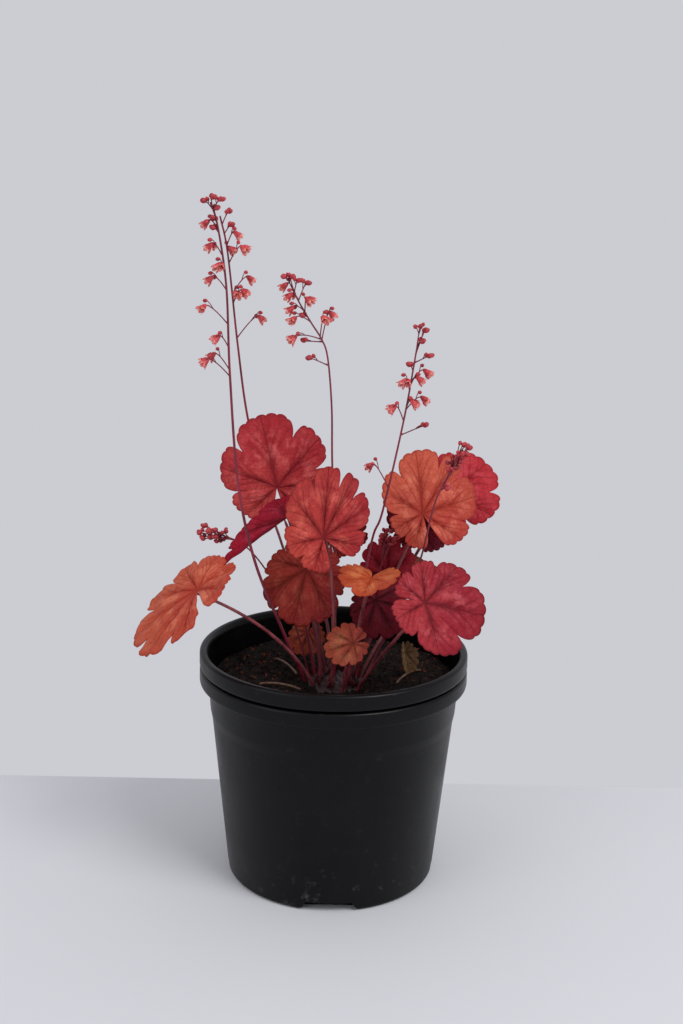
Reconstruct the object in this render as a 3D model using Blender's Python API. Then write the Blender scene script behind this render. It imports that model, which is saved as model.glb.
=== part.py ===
"""Coral-leaved heuchera in flower, growing in two nested black nursery pots.

Origin: on the pots' axis, at the surface that the outer pot stands on.
+Z is up and -Y is the side that faces the viewer. Lengths are written in
millimetres and become metres when a mesh is made.
"""

import math
from collections import namedtuple

import bpy
import numpy as np

MM = 0.001
GAP = 0.3                  # clearance between pieces that touch

# Nursery pot: both pots come from the same mould
POT_SIDES = 32
WALL = 0.75
BASE_RADIUS = 66.8
BASE_THICKNESS = 1.2
BASE_CORNER = 2.0
NECK_HEIGHT = 104.0        # top of the tapered wall
NECK_RADIUS = 77.0
COLLAR_BOTTOM = 110.0
COLLAR_RADIUS = 78.2
COLLAR_TOP_RADIUS = 80.1
RIM_BOTTOM = 128.5
POT_HEIGHT = 138.0
RIM_RADIUS = 85.0
RIM_SKIRT = 1.0            # thickness of the rim's hanging skirt
LIP_ROUND = 1.2
NEST_LIFT = 11.0           # how much higher the inner pot stands
NOTCH_COUNT = 4
NOTCH_HEIGHT = 6.0
NOTCH_TOP_WIDTH = 28.0
NOTCH_BOTTOM_WIDTH = 36.0
NOTCH_DEPTH = 9.0

# Potting mix
SOIL_TOP = 130.0
SOIL_RINGS = (18, 32, 46, 58, 68)
SOIL_BUMP = 1.6

# Crown: the woody rootstock that every leaf and flower stalk grows from
CROWN_CENTRE = (2.0, -13.0)
CROWN_RADIUS = 21.0
CROWN_BOTTOM = 113.0
CROWN_SHOULDER = 127.0
CROWN_TOP = 134.0
CROWN_SIDES = 24
STEM_ROOT = 124.0          # height of the foot of each stem in its hole
HOLE_MARGIN = 8.0          # how far above the crown a stem's hole is cut

# Leaf blades
BLADE_THICKNESS = 0.85
JUNCTION_OFFSET = 0.33     # how far the petiole joins below the blade's middle
DEEP_CUT = 0.25            # between a large blade's lobes, as a share of the blade
SHALLOW_CUT = 0.13
TOOTH_WIDTH = 5.9
TOOTH_DEPTH = 1.2
INNER_RING = 0.55
PETIOLE_SIDES = 5
PETIOLE_STEPS = 7
PETIOLE_RADIUS = 1.05

# Flower stalks
STALK_SIDES = 5
STALK_STEP = 24.0          # length of stalk between two rings
PEDICEL_RADIUS = 0.42
PEDICEL_SIDES = 3
FLORET_SIDES = 4
FLORET_LENGTH = 6.4
FLORET_RADIUS = 2.3
BUD_LENGTH = 4.0
BUD_RADIUS = 1.5
GOLDEN_ANGLE = 137.5


Leaf = namedtuple("Leaf", "name junction size width turn bend knee foot colour")

# junction: where the petiole meets the blade. size: blade radius.
# width: breadth as a share of a round blade's. turn: yaw, pitch and clock
# angle of the blade's face and tip, in degrees. bend: fold along the midrib,
# droop and dome (degrees) and edge wave (mm). knee: what the petiole's curve
# leans towards. foot: where it leaves the crown.
LEAVES = (
    Leaf("leaf_01", (-38, 20, 248), 35.0, 1.0, (8, 8, -6),
         (8, 8, 8, 2.0), (-14, 18, 185), (-4, -2), "coral"),
    Leaf("leaf_02", (-7, -44, 233), 32, 0.82, (-10, 14, 5),
         (10, 12, 10, 2.4), (4, -36, 185), (-2, -23), "coral"),
    Leaf("leaf_03", (-30, -10, 236), 38, 0.42, (202, 30, 134),
         (74, 4, 0, 0.8), (-16, 6, 190), (-6, -7), "crimson"),
    Leaf("leaf_04", (-17, -18, 206), 27, 1.0, (-16, 24, 190),
         (6, 14, 14, 1.2), (-8, -12, 180), (-8, -15), "russet"),
    Leaf("leaf_05", (-82, -38, 197), 40, 0.86, (-64, 50, 192),
         (6, 10, 6, 1.2), (-28, -20, 168), (-9, -20), "orange"),
    Leaf("leaf_06", (53, -6, 239), 32, 1.0, (18, 24, 35),
         (8, 8, 10, 2.6), (34, 4, 190), (9, -8), "orange"),
    Leaf("leaf_07", (74, 28, 243), 26, 1.0, (8, 30, 58),
         (4, 10, 10, 2.0), (40, 22, 190), (10, -2), "crimson"),
    Leaf("leaf_08", (54, 14, 225), 24, 1.0, (0, 18, 10),
         (6, 10, 10, 2.0), (28, 12, 180), (4, 2), "plum"),
    Leaf("leaf_09", (53, -60, 199), 29.5, 1.0, (20, 33, 108),
         (4, 8, 8, 2.4), (20, -36, 148), (13, -24), "rose"),
    Leaf("leaf_10", (22, -37, 206), 18, 1.15, (-14, 82, 180),
         (24, 6, 4, 0.8), (15, -32, 180), (8, -20), "orange"),
    Leaf("leaf_11", (25, -22, 188), 19, 1.0, (0, 20, 150),
         (6, 12, 10, 1.2), (20, -18, 165), (13, -13), "plum"),
    Leaf("leaf_12", (12, -54, 171), 14, 1.0, (-10, 40, 250),
         (10, 10, 10, 0.8), (10, -42, 158), (5, -29), "russet"),
    Leaf("leaf_13", (33, 3, 197), 18, 1.0, (-4, 5, 2),
         (6, 10, 10, 1.4), (18, 0, 172), (8, -3), "crimson"),
    Leaf("leaf_14", (-17, 26, 149), 13, 1.0, (-10, 50, 190),
         (8, 10, 10, 1.0), (-15, 10, 152), (-11, 0), "russet"),
    Leaf("leaf_15", (-4, 55, 204), 26, 1.0, (176, 30, 0),
         (8, 10, 12, 2.0), (0, 26, 180), (-1, 3), "coral"),
    Leaf("leaf_16", (-27, 50, 172), 24, 1.0, (210, 34, 0),
         (8, 10, 12, 2.0), (2, 34, 172), (-4, 5), "crimson"),
    Leaf("leaf_17", (66, 44, 180), 23, 1.0, (130, 36, 0),
         (8, 10, 12, 1.8), (34, 18, 166), (14, -7), "orange"),
)

# Angles from the tip of the cuts between a blade's lobes. The first and last
# are the two sides of the cleft where the petiole joins.
EVEN_LOBES = (-168, -112, -65, -22, 22, 65, 112, 168)
LOBES = {
    "leaf_01": (-164, -90, -38, 25, 71, 116, 168),
    "leaf_02": (-206, -134, -80, -23, 10, 33, 73, 113),
    "leaf_05": (-78, -47, -4, 37, 69, 106, 160, 210, 270),
    "leaf_06": (-220, -172, -125, -59, -9, 16, 68, 120),
    "leaf_07": (-160, -105, -50, 28, 96, 165),
    "leaf_09": (-178, -125, -79, -34, 31, 99, 178),
}

Stalk = namedtuple("Stalk", "name route foot radius flowers buds")

# route: points up the stalk. flowers and buds: across and up, where each one hangs.
STALKS = (
    Stalk("flower_stalk_01",
          ((-33, -22, 170), (-49, -26, 213), (-59, -26, 261), (-64, -24, 326), (-66, -24, 377),
           (-71, -24, 412), (-75, -24, 425)),
          (-15, -12), 0.95,
          ((-78, 413), (-76, 400), (-71, 389), (-76, 381), (-80, 365), (-72, 347), (-75, 336), (-78, 334)),
          ((-79, 426), (-73, 428), (-69, 427), (-74, 416), (-74, 411), (-71, 422))),
    Stalk("flower_stalk_02",
          ((-22, 0, 180), (-35, 18, 213), (-44, 29, 236), (-57, 31, 289), (-63, 24, 337), (-68, 10, 394),
           (-72, 4, 416)),
          (-10, -7), 0.9,
          ((-62, 405), (-66, 396), (-58, 397), (-55, 378), (-58, 370), (-62, 369), (-49, 353)),
          ((-66, 419), (-65, 411))),
    Stalk("flower_stalk_03",
          ((0, -7, 208), (-3, -1, 268), (-4, 3, 303), (-7, 6, 333), (-11, 7, 344), (-17, 8, 353),
           (-25, 9, 366), (-30, 9, 376)),
          (1, -12), 0.8,
          ((-34, 375), (-31, 369), (-19, 367), (-30, 361), (-29, 355), (-8, 356), (-5, 358), (-28, 344)),
          ((-34, 381), (-29, 381), (-25, 379), (-20, 377), (-23, 358), (-22, 343), (-18, 332))),
    Stalk("flower_stalk_04",
          ((13, -12, 165), (22, -18, 224), (28, -22, 244), (39, -26, 301), (46, -24, 347)),
          (4, -17), 0.8,
          ((48, 325), (52, 329), (38, 324), (51, 313), (45, 311), (32, 308), (20, 271)),
          ((47, 357), (51, 354), (49, 348), (53, 340), (41, 334), (52, 299))),
    Stalk("flower_stalk_05",
          ((40, -10, 178), (46, -19, 197), (52, -28, 218), (59, -34, 254), (68, -36, 275)),
          (15, -17), 0.75,
          (),
          ((78, 287), (75, 288), (73, 285), (76, 283), (70, 282), (74, 280), (68, 278), (66, 274), (71, 275),
           (66, 263))),
    Stalk("flower_stalk_06",
          ((-28, 2, 172), (-45, 14, 196), (-59, 19, 210), (-74, 18, 217)),
          (-13, -6), 0.7,
          (),
          ((-87, 218), (-85, 221), (-81, 220), (-78, 219), (-85, 215), (-80, 215), (-74, 212), (-70, 219),
           (-76, 216))),
    Stalk("flower_stalk_07",
          ((14, -14, 160), (23, -6, 183), (31, 0, 213)),
          (8, -14), 0.7,
          (),
          ((29, 223), (32, 225), (36, 223), (28, 219), (32, 221), (36, 219), (31, 217))),
)

# Dead stems that lie on the potting mix: two ends and how high the middle arches
LITTER = (
    ("dead_stem_01", (-38, 22, 132.0), (-23, -6, 132.5), 2.0, 0.9),
    ("dead_stem_02", (-46, -22, 131.5), (-20, -30, 131.5), 2.0, 0.8),
    ("dead_stem_03", (40, -14, 130.9), (56, 8, 131.4), 2.5, 0.8),
)
DRY_LEAF = Leaf("dry_leaf", (46, 7, 143.8), 11, 1.0, (20, 20, 180), (58, 0, 0, 0.0), None, None, "litter")

COLOURS = {
    "coral": (0.48, 0.07, 0.06),
    "orange": (0.60, 0.15, 0.07),
    "crimson": (0.30, 0.02, 0.04),
    "rose": (0.42, 0.05, 0.07),
    "plum": (0.13, 0.01, 0.03),
    "russet": (0.27, 0.07, 0.03),
    "stalk": (0.18, 0.02, 0.04),
    "pot": (0.012, 0.012, 0.014),
    "soil": (0.025, 0.014, 0.010),
    "wood": (0.12, 0.05, 0.04),
    "litter": (0.22, 0.12, 0.08),
}


def make_material(name, roughness=0.55):
    """A plain Principled material in one of the plant's colours."""
    found = bpy.data.materials.get(name)
    if found:
        return found
    material = bpy.data.materials.new(name)
    material.use_nodes = True
    shader = material.node_tree.nodes["Principled BSDF"]
    shader.inputs["Base Color"].default_value = (*COLOURS[name], 1.0)
    shader.inputs["Roughness"].default_value = roughness
    shader.inputs["Metallic"].default_value = 0.0
    return material


def make_object(name, points, faces, colour, roughness=0.55):
    """A mesh object from points in millimetres."""
    mesh = bpy.data.meshes.new(name)
    mesh.from_pydata([tuple(float(c) * MM for c in p) for p in points], [], faces)
    mesh.update()
    thing = bpy.data.objects.new(name, mesh)
    bpy.context.scene.collection.objects.link(thing)
    mesh.materials.append(make_material(colour, roughness))
    mesh.shade_smooth()
    mesh.set_sharp_from_angle(angle=math.radians(40))
    return thing


def combine(target, others, operation):
    """Join others to the target, or cut them from it, and remove them."""
    group = bpy.data.collections.new("tools")
    bpy.context.scene.collection.children.link(group)
    for other in others:
        bpy.context.scene.collection.objects.unlink(other)
        group.objects.link(other)
    step = target.modifiers.new("combine", "BOOLEAN")
    step.operation = operation
    step.operand_type = "COLLECTION"
    step.collection = group
    step.solver = "MANIFOLD"
    evaluated = target.evaluated_get(bpy.context.evaluated_depsgraph_get())
    mesh = bpy.data.meshes.new_from_object(evaluated)
    target.modifiers.remove(step)
    target.data = mesh
    for other in others:
        bpy.data.objects.remove(other)
    bpy.data.collections.remove(group)


def unit(vector):
    vector = np.asarray(vector, float)
    return vector / np.linalg.norm(vector)


def lathe(profile, sides, centre=(0.0, 0.0)):
    """Turn a closed (radius, height) profile; points on the axis are shared.

    The profile runs up the outside and back down the inside.
    """
    points, rings = [], []
    for radius, height in profile:
        ring = []
        count = sides if radius > 0 else 1
        for i in range(count):
            angle = 2 * math.pi * i / sides
            ring.append(len(points))
            x, y = centre[0] + radius * math.cos(angle), centre[1] + radius * math.sin(angle)
            points.append((x, y, height))
        rings.append(ring)
    faces = []
    for a, b in zip(rings, rings[1:] + rings[:1]):
        if len(a) == 1 and len(b) == 1:
            continue
        for i in range(sides):
            j = (i + 1) % sides
            corners = [a[i % len(a)], a[j % len(a)], b[j % len(b)], b[i % len(b)]]
            faces.append(tuple(dict.fromkeys(corners)))
    return points, faces


def tube(route, radii, sides):
    """A closed round tube along a list of points."""
    route = [np.asarray(p, float) for p in route]
    points, faces = [], []
    side = None
    for k, (centre, radius) in enumerate(zip(route, radii)):
        along = unit(route[min(k + 1, len(route) - 1)] - route[max(k - 1, 0)])
        if side is None:
            side = unit(np.cross(along, (0.31, 0.95, 0.05)))
        side = unit(side - along * side.dot(along))
        other = np.cross(along, side)
        for i in range(sides):
            angle = 2 * math.pi * i / sides
            points.append(centre + radius * (math.cos(angle) * side + math.sin(angle) * other))
    for k in range(len(route) - 1):
        for i in range(sides):
            j = (i + 1) % sides
            faces.append((k * sides + i, k * sides + j, (k + 1) * sides + j, (k + 1) * sides + i))
    faces.append(tuple(range(sides))[::-1])
    faces.append(tuple(range((len(route) - 1) * sides, len(route) * sides)))
    return points, faces


def curve_through(points, step):
    """Points about a step apart on a smooth curve through the given points."""
    points = [np.asarray(p, float) for p in points]
    ends = [2 * points[0] - points[1]] + points + [2 * points[-1] - points[-2]]
    found = [points[0]]
    for a, b, c, d in zip(ends, ends[1:], ends[2:], ends[3:]):
        count = max(1, round(np.linalg.norm(c - b) / step))
        for k in range(1, count + 1):
            t = k / count
            found.append(0.5 * (2 * b + (c - a) * t + (2 * a - 5 * b + 4 * c - d) * t ** 2
                                + (3 * b - a - 3 * c + d) * t ** 3))
    return found


def bow(start, middle, end, count):
    """A curve that leaves start towards middle and arrives at end from it."""
    start, middle, end = (np.asarray(p, float) for p in (start, middle, end))
    steps = [k / count for k in range(count + 1)]
    return [(1 - t) ** 2 * start + 2 * t * (1 - t) * middle + t ** 2 * end for t in steps]


# Pots

def pot_profile(lift):
    """The section of a pot whose foot is raised by lift."""
    inner_top = COLLAR_TOP_RADIUS - WALL + 0.9
    outside = [
        (0.0, 0.0),
        (BASE_RADIUS - BASE_CORNER, 0.0),
        (BASE_RADIUS - 0.3 * BASE_CORNER, 0.3 * BASE_CORNER),
        (BASE_RADIUS + 0.1, BASE_CORNER),
        (NECK_RADIUS, NECK_HEIGHT),
        (COLLAR_RADIUS, COLLAR_BOTTOM),
        (COLLAR_TOP_RADIUS, POT_HEIGHT - 2.2),
        (RIM_RADIUS - RIM_SKIRT - 0.4, POT_HEIGHT - 2.0),
        (RIM_RADIUS - RIM_SKIRT, RIM_BOTTOM),
        (RIM_RADIUS - 0.3, RIM_BOTTOM),
        (RIM_RADIUS, RIM_BOTTOM + 1.2),
        (RIM_RADIUS - 0.1, POT_HEIGHT - LIP_ROUND),
        (RIM_RADIUS - LIP_ROUND, POT_HEIGHT),
        (inner_top + LIP_ROUND, POT_HEIGHT),
        (inner_top, POT_HEIGHT - LIP_ROUND),
    ]
    inside = [
        (COLLAR_TOP_RADIUS - WALL, POT_HEIGHT - 3.4),
        (COLLAR_RADIUS - WALL, COLLAR_BOTTOM),
        (NECK_RADIUS - WALL, NECK_HEIGHT),
        (BASE_RADIUS + 0.1 - WALL, BASE_CORNER),
        (BASE_RADIUS - WALL - 0.6, BASE_THICKNESS),
        (0.0, BASE_THICKNESS),
    ]
    return [(radius, height + lift) for radius, height in outside + inside]


def drain_notch(angle, lift):
    """The wedge that a drain slot leaves at the foot of a pot."""
    inner = BASE_RADIUS - NOTCH_DEPTH
    outer = BASE_RADIUS + NOTCH_DEPTH
    low = lift - NOTCH_HEIGHT
    high = lift + NOTCH_HEIGHT
    slope = NOTCH_BOTTOM_WIDTH - NOTCH_TOP_WIDTH
    points = []
    for radius in (inner, outer):
        for height, half in ((low, NOTCH_BOTTOM_WIDTH / 2 + slope / 2), (high, NOTCH_TOP_WIDTH / 2)):
            for side in (-half, half):
                points.append((radius * math.cos(angle) - side * math.sin(angle),
                               radius * math.sin(angle) + side * math.cos(angle), height))
    faces = [(0, 2, 3, 1), (4, 5, 7, 6), (0, 1, 5, 4), (2, 6, 7, 3), (0, 4, 6, 2), (1, 3, 7, 5)]
    return make_object("notch", points, faces, "pot")


def make_pot(name, lift, first_notch):
    """One nursery pot with drain slots round its foot."""
    points, faces = lathe(pot_profile(lift), POT_SIDES)
    pot = make_object(name, points, faces, "pot", 0.38)
    notches = []
    for k in range(NOTCH_COUNT):
        notches.append(drain_notch(math.radians(first_notch + 360 * k / NOTCH_COUNT), lift))
    combine(pot, notches, "DIFFERENCE")
    return pot


def pot_inner_radius(height):
    """The radius of the inner pot's wall, inside, at a height."""
    heights = [NEST_LIFT + h for h in (BASE_CORNER, NECK_HEIGHT, COLLAR_BOTTOM, POT_HEIGHT - 3.4)]
    radii = [r - WALL for r in (BASE_RADIUS + 0.1, NECK_RADIUS, COLLAR_RADIUS, COLLAR_TOP_RADIUS)]
    return float(np.interp(height, heights, radii))


# Potting mix and crown

def soil_height(x, y):
    """The lumpy top of the potting mix."""
    lumps = math.sin(0.21 * x + 0.6) * math.cos(0.17 * y - 0.4) + 0.6 * math.sin(0.43 * x - 0.31 * y)
    return SOIL_TOP + SOIL_BUMP * 0.5 * lumps


def make_soil(holes):
    """The potting mix, with plain holes for the crown and the stems that lean over its edge."""
    foot = NEST_LIFT + BASE_THICKNESS + GAP
    side_heights = (foot + 1.5, NEST_LIFT + NECK_HEIGHT, NEST_LIFT + COLLAR_BOTTOM)
    points = [(0.0, 0.0, foot)]
    rings = []
    radii = [(BASE_RADIUS - WALL - 1.2, foot)]
    radii += [(pot_inner_radius(h) - GAP - 0.1, h) for h in side_heights]
    for radius, height in radii:
        rings.append([len(points) + i for i in range(POT_SIDES)])
        for i in range(POT_SIDES):
            angle = 2 * math.pi * i / POT_SIDES
            points.append((radius * math.cos(angle), radius * math.sin(angle), height))
    edge = pot_inner_radius(SOIL_TOP - 3) - GAP - 0.1
    for radius in (edge,) + SOIL_RINGS[::-1]:
        rings.append([len(points) + i for i in range(POT_SIDES)])
        for i in range(POT_SIDES):
            angle = 2 * math.pi * i / POT_SIDES
            x, y = radius * math.cos(angle), radius * math.sin(angle)
            fall = 2.5 if radius == edge else 0.0
            points.append((x, y, soil_height(x, y) - fall))
    middle = len(points)
    points.append((0.0, 0.0, soil_height(0, 0)))
    faces = []
    for i in range(POT_SIDES):
        j = (i + 1) % POT_SIDES
        faces.append((0, rings[0][j], rings[0][i]))
        for a, b in zip(rings, rings[1:]):
            faces.append((a[i], a[j], b[j]))
            faces.append((a[i], b[j], b[i]))
        faces.append((rings[-1][i], rings[-1][j], middle))
    soil = make_object("potting_mix", points, faces, "soil", 0.95)
    combine(soil, [make_crown_hole()] + [make_object("hole", *hole, "soil") for hole in holes], "DIFFERENCE")
    return soil


def make_crown(holes):
    """The rootstock, with a hole for the foot of every stem."""
    profile = [
        (0.0, CROWN_BOTTOM),
        (CROWN_RADIUS - 3.0, CROWN_BOTTOM),
        (CROWN_RADIUS, CROWN_BOTTOM + 3.0),
        (CROWN_RADIUS, CROWN_SHOULDER),
        (0.82 * CROWN_RADIUS, CROWN_SHOULDER + 0.65 * (CROWN_TOP - CROWN_SHOULDER)),
        (0.45 * CROWN_RADIUS, CROWN_TOP),
        (0.0, CROWN_TOP),
    ]
    points, faces = lathe(profile, CROWN_SIDES, CROWN_CENTRE)
    crown = make_object("crown", points, faces, "wood", 0.8)
    combine(crown, [make_object("hole", *hole, "wood") for hole in holes], "DIFFERENCE")
    return crown


def make_crown_hole():
    """The room that the crown takes in the potting mix, open at the top."""
    radius = CROWN_RADIUS + GAP + 0.05
    profile = [
        (0.0, CROWN_BOTTOM - GAP),
        (radius - 3.0, CROWN_BOTTOM - GAP),
        (radius, CROWN_BOTTOM + 3.0 - GAP),
        (radius, SOIL_TOP + 12.0),
        (0.0, SOIL_TOP + 12.0),
    ]
    points, faces = lathe(profile, CROWN_SIDES, CROWN_CENTRE)
    return make_object("crown_hole", points, faces, "soil")


def stem_hole(route, radius, sides):
    """The hole that a stem stands in: its own lower end, a gap wider."""
    below = sum(p[2] < CROWN_TOP + HOLE_MARGIN for p in route)
    lower = list(route[:below + 1])
    first = lower[0] - unit(lower[1] - lower[0]) * GAP
    return tube([first] + lower[1:], [radius + GAP / math.cos(math.pi / sides)] * len(lower), sides)


# Leaves

def leaf_frame(turn):
    """Across, tip and face directions of a blade."""
    yaw, pitch, clock = (math.radians(a) for a in turn)
    face = np.array([math.sin(yaw) * math.cos(pitch), -math.cos(yaw) * math.cos(pitch), math.sin(pitch)])
    rise = unit(np.array([0.0, 0.0, 1.0]) - face * face[2])
    right = np.cross(rise, face)
    tip = math.cos(clock) * rise + math.sin(clock) * right
    return np.cross(tip, face), tip, face


def blade_rim(leaf):
    """Angle and distance of each point of the toothed edge: two points to a tooth."""
    rim = []
    lobes = LOBES.get(leaf.name, EVEN_LOBES)
    cut = DEEP_CUT if leaf.name in LOBES else SHALLOW_CUT
    for low, high in zip(lobes, lobes[1:]):
        teeth = max(2, round(math.radians(high - low) * leaf.size / TOOTH_WIDTH))
        for k in range(2 * teeth + (high == lobes[-1])):
            place = k / teeth - 1
            angle = math.radians(low + (high - low) * k / (2 * teeth))
            rounded = JUNCTION_OFFSET * math.cos(angle)
            rounded += math.sqrt(1 - (JUNCTION_OFFSET * math.sin(angle)) ** 2)
            valley = TOOTH_DEPTH * (1 - k % 2)
            rim.append((angle, leaf.size * rounded * (1 - cut * abs(place) ** 6) - valley))
    return rim


def blade_point(leaf, angle, edge, reach):
    """A point on the middle surface of a blade, at a share of the way to its edge."""
    fold, droop, dome, wave = leaf.bend
    along = reach * edge * math.cos(angle)
    across = reach * edge * leaf.width * math.sin(angle)
    seed = leaf.junction[0] * 0.7 + leaf.junction[2] * 0.3
    height = wave * reach ** 2 * math.sin(3 * angle + seed)
    tilt = math.radians(fold)
    height += (math.sqrt(across ** 2 + 4.0) - 2.0) * math.sin(tilt)
    across *= math.cos(tilt)
    height -= 0.5 * math.radians(droop) / leaf.size * along ** 2
    height -= 0.5 * math.radians(dome) / leaf.size * across ** 2
    side, tip, face = leaf_frame(leaf.turn)
    return np.asarray(leaf.junction, float) + along * tip + across * side + height * face


def blade_mesh(leaf):
    """A closed thin blade, split into triangles alike on both faces."""
    rim = blade_rim(leaf)
    surface = [blade_point(leaf, 0.0, 0.0, 0.0)]
    surface += [blade_point(leaf, angle, edge, INNER_RING) for angle, edge in rim[::2]]
    surface += [blade_point(leaf, angle, edge, 1.0) for angle, edge in rim]
    surface = np.array(surface)
    count = len(rim)
    inner_count = (count + 1) // 2
    triangles = []
    for i in range(inner_count - 1):
        a, b = 1 + i, 2 + i
        outer = 1 + inner_count + 2 * i
        triangles.append((0, a, b))
        triangles.append((a, outer, outer + 1))
        triangles.append((a, outer + 1, b))
        triangles.append((b, outer + 1, outer + 2))
    normals = np.zeros_like(surface)
    for a, b, c in triangles:
        normal = np.cross(surface[b] - surface[a], surface[c] - surface[a])
        for corner in (a, b, c):
            normals[corner] += normal
    normals /= np.linalg.norm(normals, axis=1)[:, None]
    half = 0.5 * BLADE_THICKNESS
    points = list(surface + half * normals) + list(surface - half * normals)
    back = len(surface)
    faces = list(triangles)
    faces += [(c + back, b + back, a + back) for a, b, c in triangles]
    border = [0, 1]
    border += [1 + inner_count + i for i in range(count)]
    border += [inner_count]
    for a, b in zip(border, border[1:] + border[:1]):
        faces.append((a, a + back, b + back))
        faces.append((a, b + back, b))
    return points, faces


def petiole_route(leaf):
    """The petiole's curve, from its foot in the crown to just under the blade."""
    side, tip, face = leaf_frame(leaf.turn)
    end = np.asarray(leaf.junction, float) + tip * 2.2 - face * 0.5
    return bow((*leaf.foot, STEM_ROOT), leaf.knee, end, PETIOLE_STEPS)


def make_leaf(leaf):
    """One leaf: blade and petiole grown together."""
    points, faces = blade_mesh(leaf)
    blade = make_object(leaf.name, points, faces, leaf.colour)
    route = petiole_route(leaf)
    radii = [PETIOLE_RADIUS * (1.15 - 0.3 * k / PETIOLE_STEPS) for k in range(PETIOLE_STEPS + 1)]
    points, faces = tube(route, radii, PETIOLE_SIDES)
    petiole = make_object("petiole", points, faces, leaf.colour)
    combine(blade, [petiole], "UNION")
    return stem_hole(route, 1.15 * PETIOLE_RADIUS, PETIOLE_SIDES)


# Flower stalks

def teardrop(start, along, length, radius, widest):
    """A closed bell or bud: pointed at start, rounded at its end."""
    shares = ((0.0, 0.35), (widest, 1.0), (0.92, 0.75))
    points, faces = [], []
    side = unit(np.cross(along, (0.2, 0.3, 0.93)))
    other = np.cross(along, side)
    for share, width in shares:
        for i in range(FLORET_SIDES):
            angle = 2 * math.pi * i / FLORET_SIDES
            spoke = math.cos(angle) * side + math.sin(angle) * other
            points.append(start + along * length * share + spoke * radius * width)
    for k in range(len(shares) - 1):
        for i in range(FLORET_SIDES):
            j = (i + 1) % FLORET_SIDES
            a = k * FLORET_SIDES
            faces.append((a + i, a + j, a + FLORET_SIDES + j, a + FLORET_SIDES + i))
    faces.append(tuple(range(FLORET_SIDES))[::-1])
    faces.append(tuple(range(2 * FLORET_SIDES, 3 * FLORET_SIDES)))
    return points, faces


def point_along(route, place, back):
    """The point of the stalk nearest to a place seen from the front, or a way back down from it."""
    lengths = [0.0]
    for a, b in zip(route, route[1:]):
        lengths.append(lengths[-1] + float(np.linalg.norm(b - a)))
    best, found = None, 0.0
    for a, b, start in zip(route, route[1:], lengths):
        step = (b - a)[[0, 2]]
        share = float(np.clip(np.dot(np.array(place) - a[[0, 2]], step) / np.dot(step, step), 0, 1))
        away = np.linalg.norm(a[[0, 2]] + share * step - np.array(place))
        if best is None or away < best:
            best, found = away, start + share * float(np.linalg.norm(b - a))
    found = max(0.0, found - back)
    return np.array([np.interp(found, lengths, [p[k] for p in route]) for k in range(3)])


def hang_flower(route, place, number, bloom):
    """A pedicel that arches off the stalk, with the bell or bud that nods from it."""
    stem = point_along(route, place, 0.0)
    spread = math.hypot(place[0] - stem[0], place[1] - stem[2])
    swing = spread * 0.55 * math.sin(math.radians(number * GOLDEN_ANGLE)) + 0.8 * math.cos(number)
    centre = np.array([place[0], stem[1] + swing, place[1]])
    root = point_along(route, place, 1.5 + 0.6 * spread)
    outward = centre - stem
    outward[2] = 0.0
    outward = unit(outward + np.array([0.01, 0.0, 0.0]))
    along = unit(outward * 0.75 + np.array([0.0, 0.0, -0.65 if bloom else 0.35]))
    length, radius = (FLORET_LENGTH, FLORET_RADIUS) if bloom else (BUD_LENGTH, BUD_RADIUS)
    start = centre - along * length * 0.5
    over = 0.3 * root + 0.7 * start + np.array([0.0, 0.0, 2.6 if bloom else 0.4])
    route_out = bow(root, over, start + along * 0.8, 2)
    return [tube(route_out, [PEDICEL_RADIUS] * 3, PEDICEL_SIDES),
            teardrop(start, along, length, radius, 0.7 if bloom else 0.5)]


def stalk_route(stalk):
    foot = np.array([*stalk.foot, STEM_ROOT])
    return curve_through([foot] + [np.asarray(p, float) for p in stalk.route], STALK_STEP)


def make_stalk(stalk):
    """One flower stalk with its pedicels, bells and buds grown together."""
    route = stalk_route(stalk)
    last = len(route) - 1
    radii = [stalk.radius * (1.1 - 0.5 * k / last) for k in range(last + 1)]
    points, faces = tube(route, radii, STALK_SIDES)
    stem = make_object(stalk.name, points, faces, "stalk")
    pieces = []
    places = [(place, True) for place in stalk.flowers] + [(place, False) for place in stalk.buds]
    for number, (place, bloom) in enumerate(places):
        for points, faces in hang_flower(route, place, number, bloom):
            pieces.append(make_object("sprig", points, faces, "stalk"))
    combine(stem, pieces, "UNION")
    return stem_hole(route, 1.1 * stalk.radius, STALK_SIDES)


# Litter on the potting mix

def make_litter():
    """Dead stems and one dry leaf on the potting mix."""
    for name, start, end, arch, radius in LITTER:
        middle = 0.5 * (np.asarray(start, float) + np.asarray(end, float)) + np.array([0.0, 0.0, 2 * arch])
        route = bow(start, middle, end, 5)
        points, faces = tube(route, [radius] * 6, 5)
        make_object(name, points, faces, "litter", 0.8)
    points, faces = blade_mesh(DRY_LEAF)
    make_object(DRY_LEAF.name, points, faces, DRY_LEAF.colour, 0.8)


def main():
    for thing in list(bpy.data.objects):
        bpy.data.objects.remove(thing)
    make_pot("outer_pot", 0.0, 270.0)
    make_pot("inner_pot", NEST_LIFT, 250.0)
    holes = [make_leaf(leaf) for leaf in LEAVES]
    holes += [make_stalk(stalk) for stalk in STALKS]
    make_crown(holes)
    make_soil(holes)
    make_litter()


main()
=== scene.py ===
"""Looks of the potted heuchera: fine leaves, flower stalks, potting mix, pots and studio.

Lengths are millimetres and become metres when a mesh is made. Only the camera, the lights
and the insides of materials use metres.
"""
import math
import random
from collections import namedtuple

import bpy
import numpy as np
from mathutils import Matrix, Vector, noise


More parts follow.
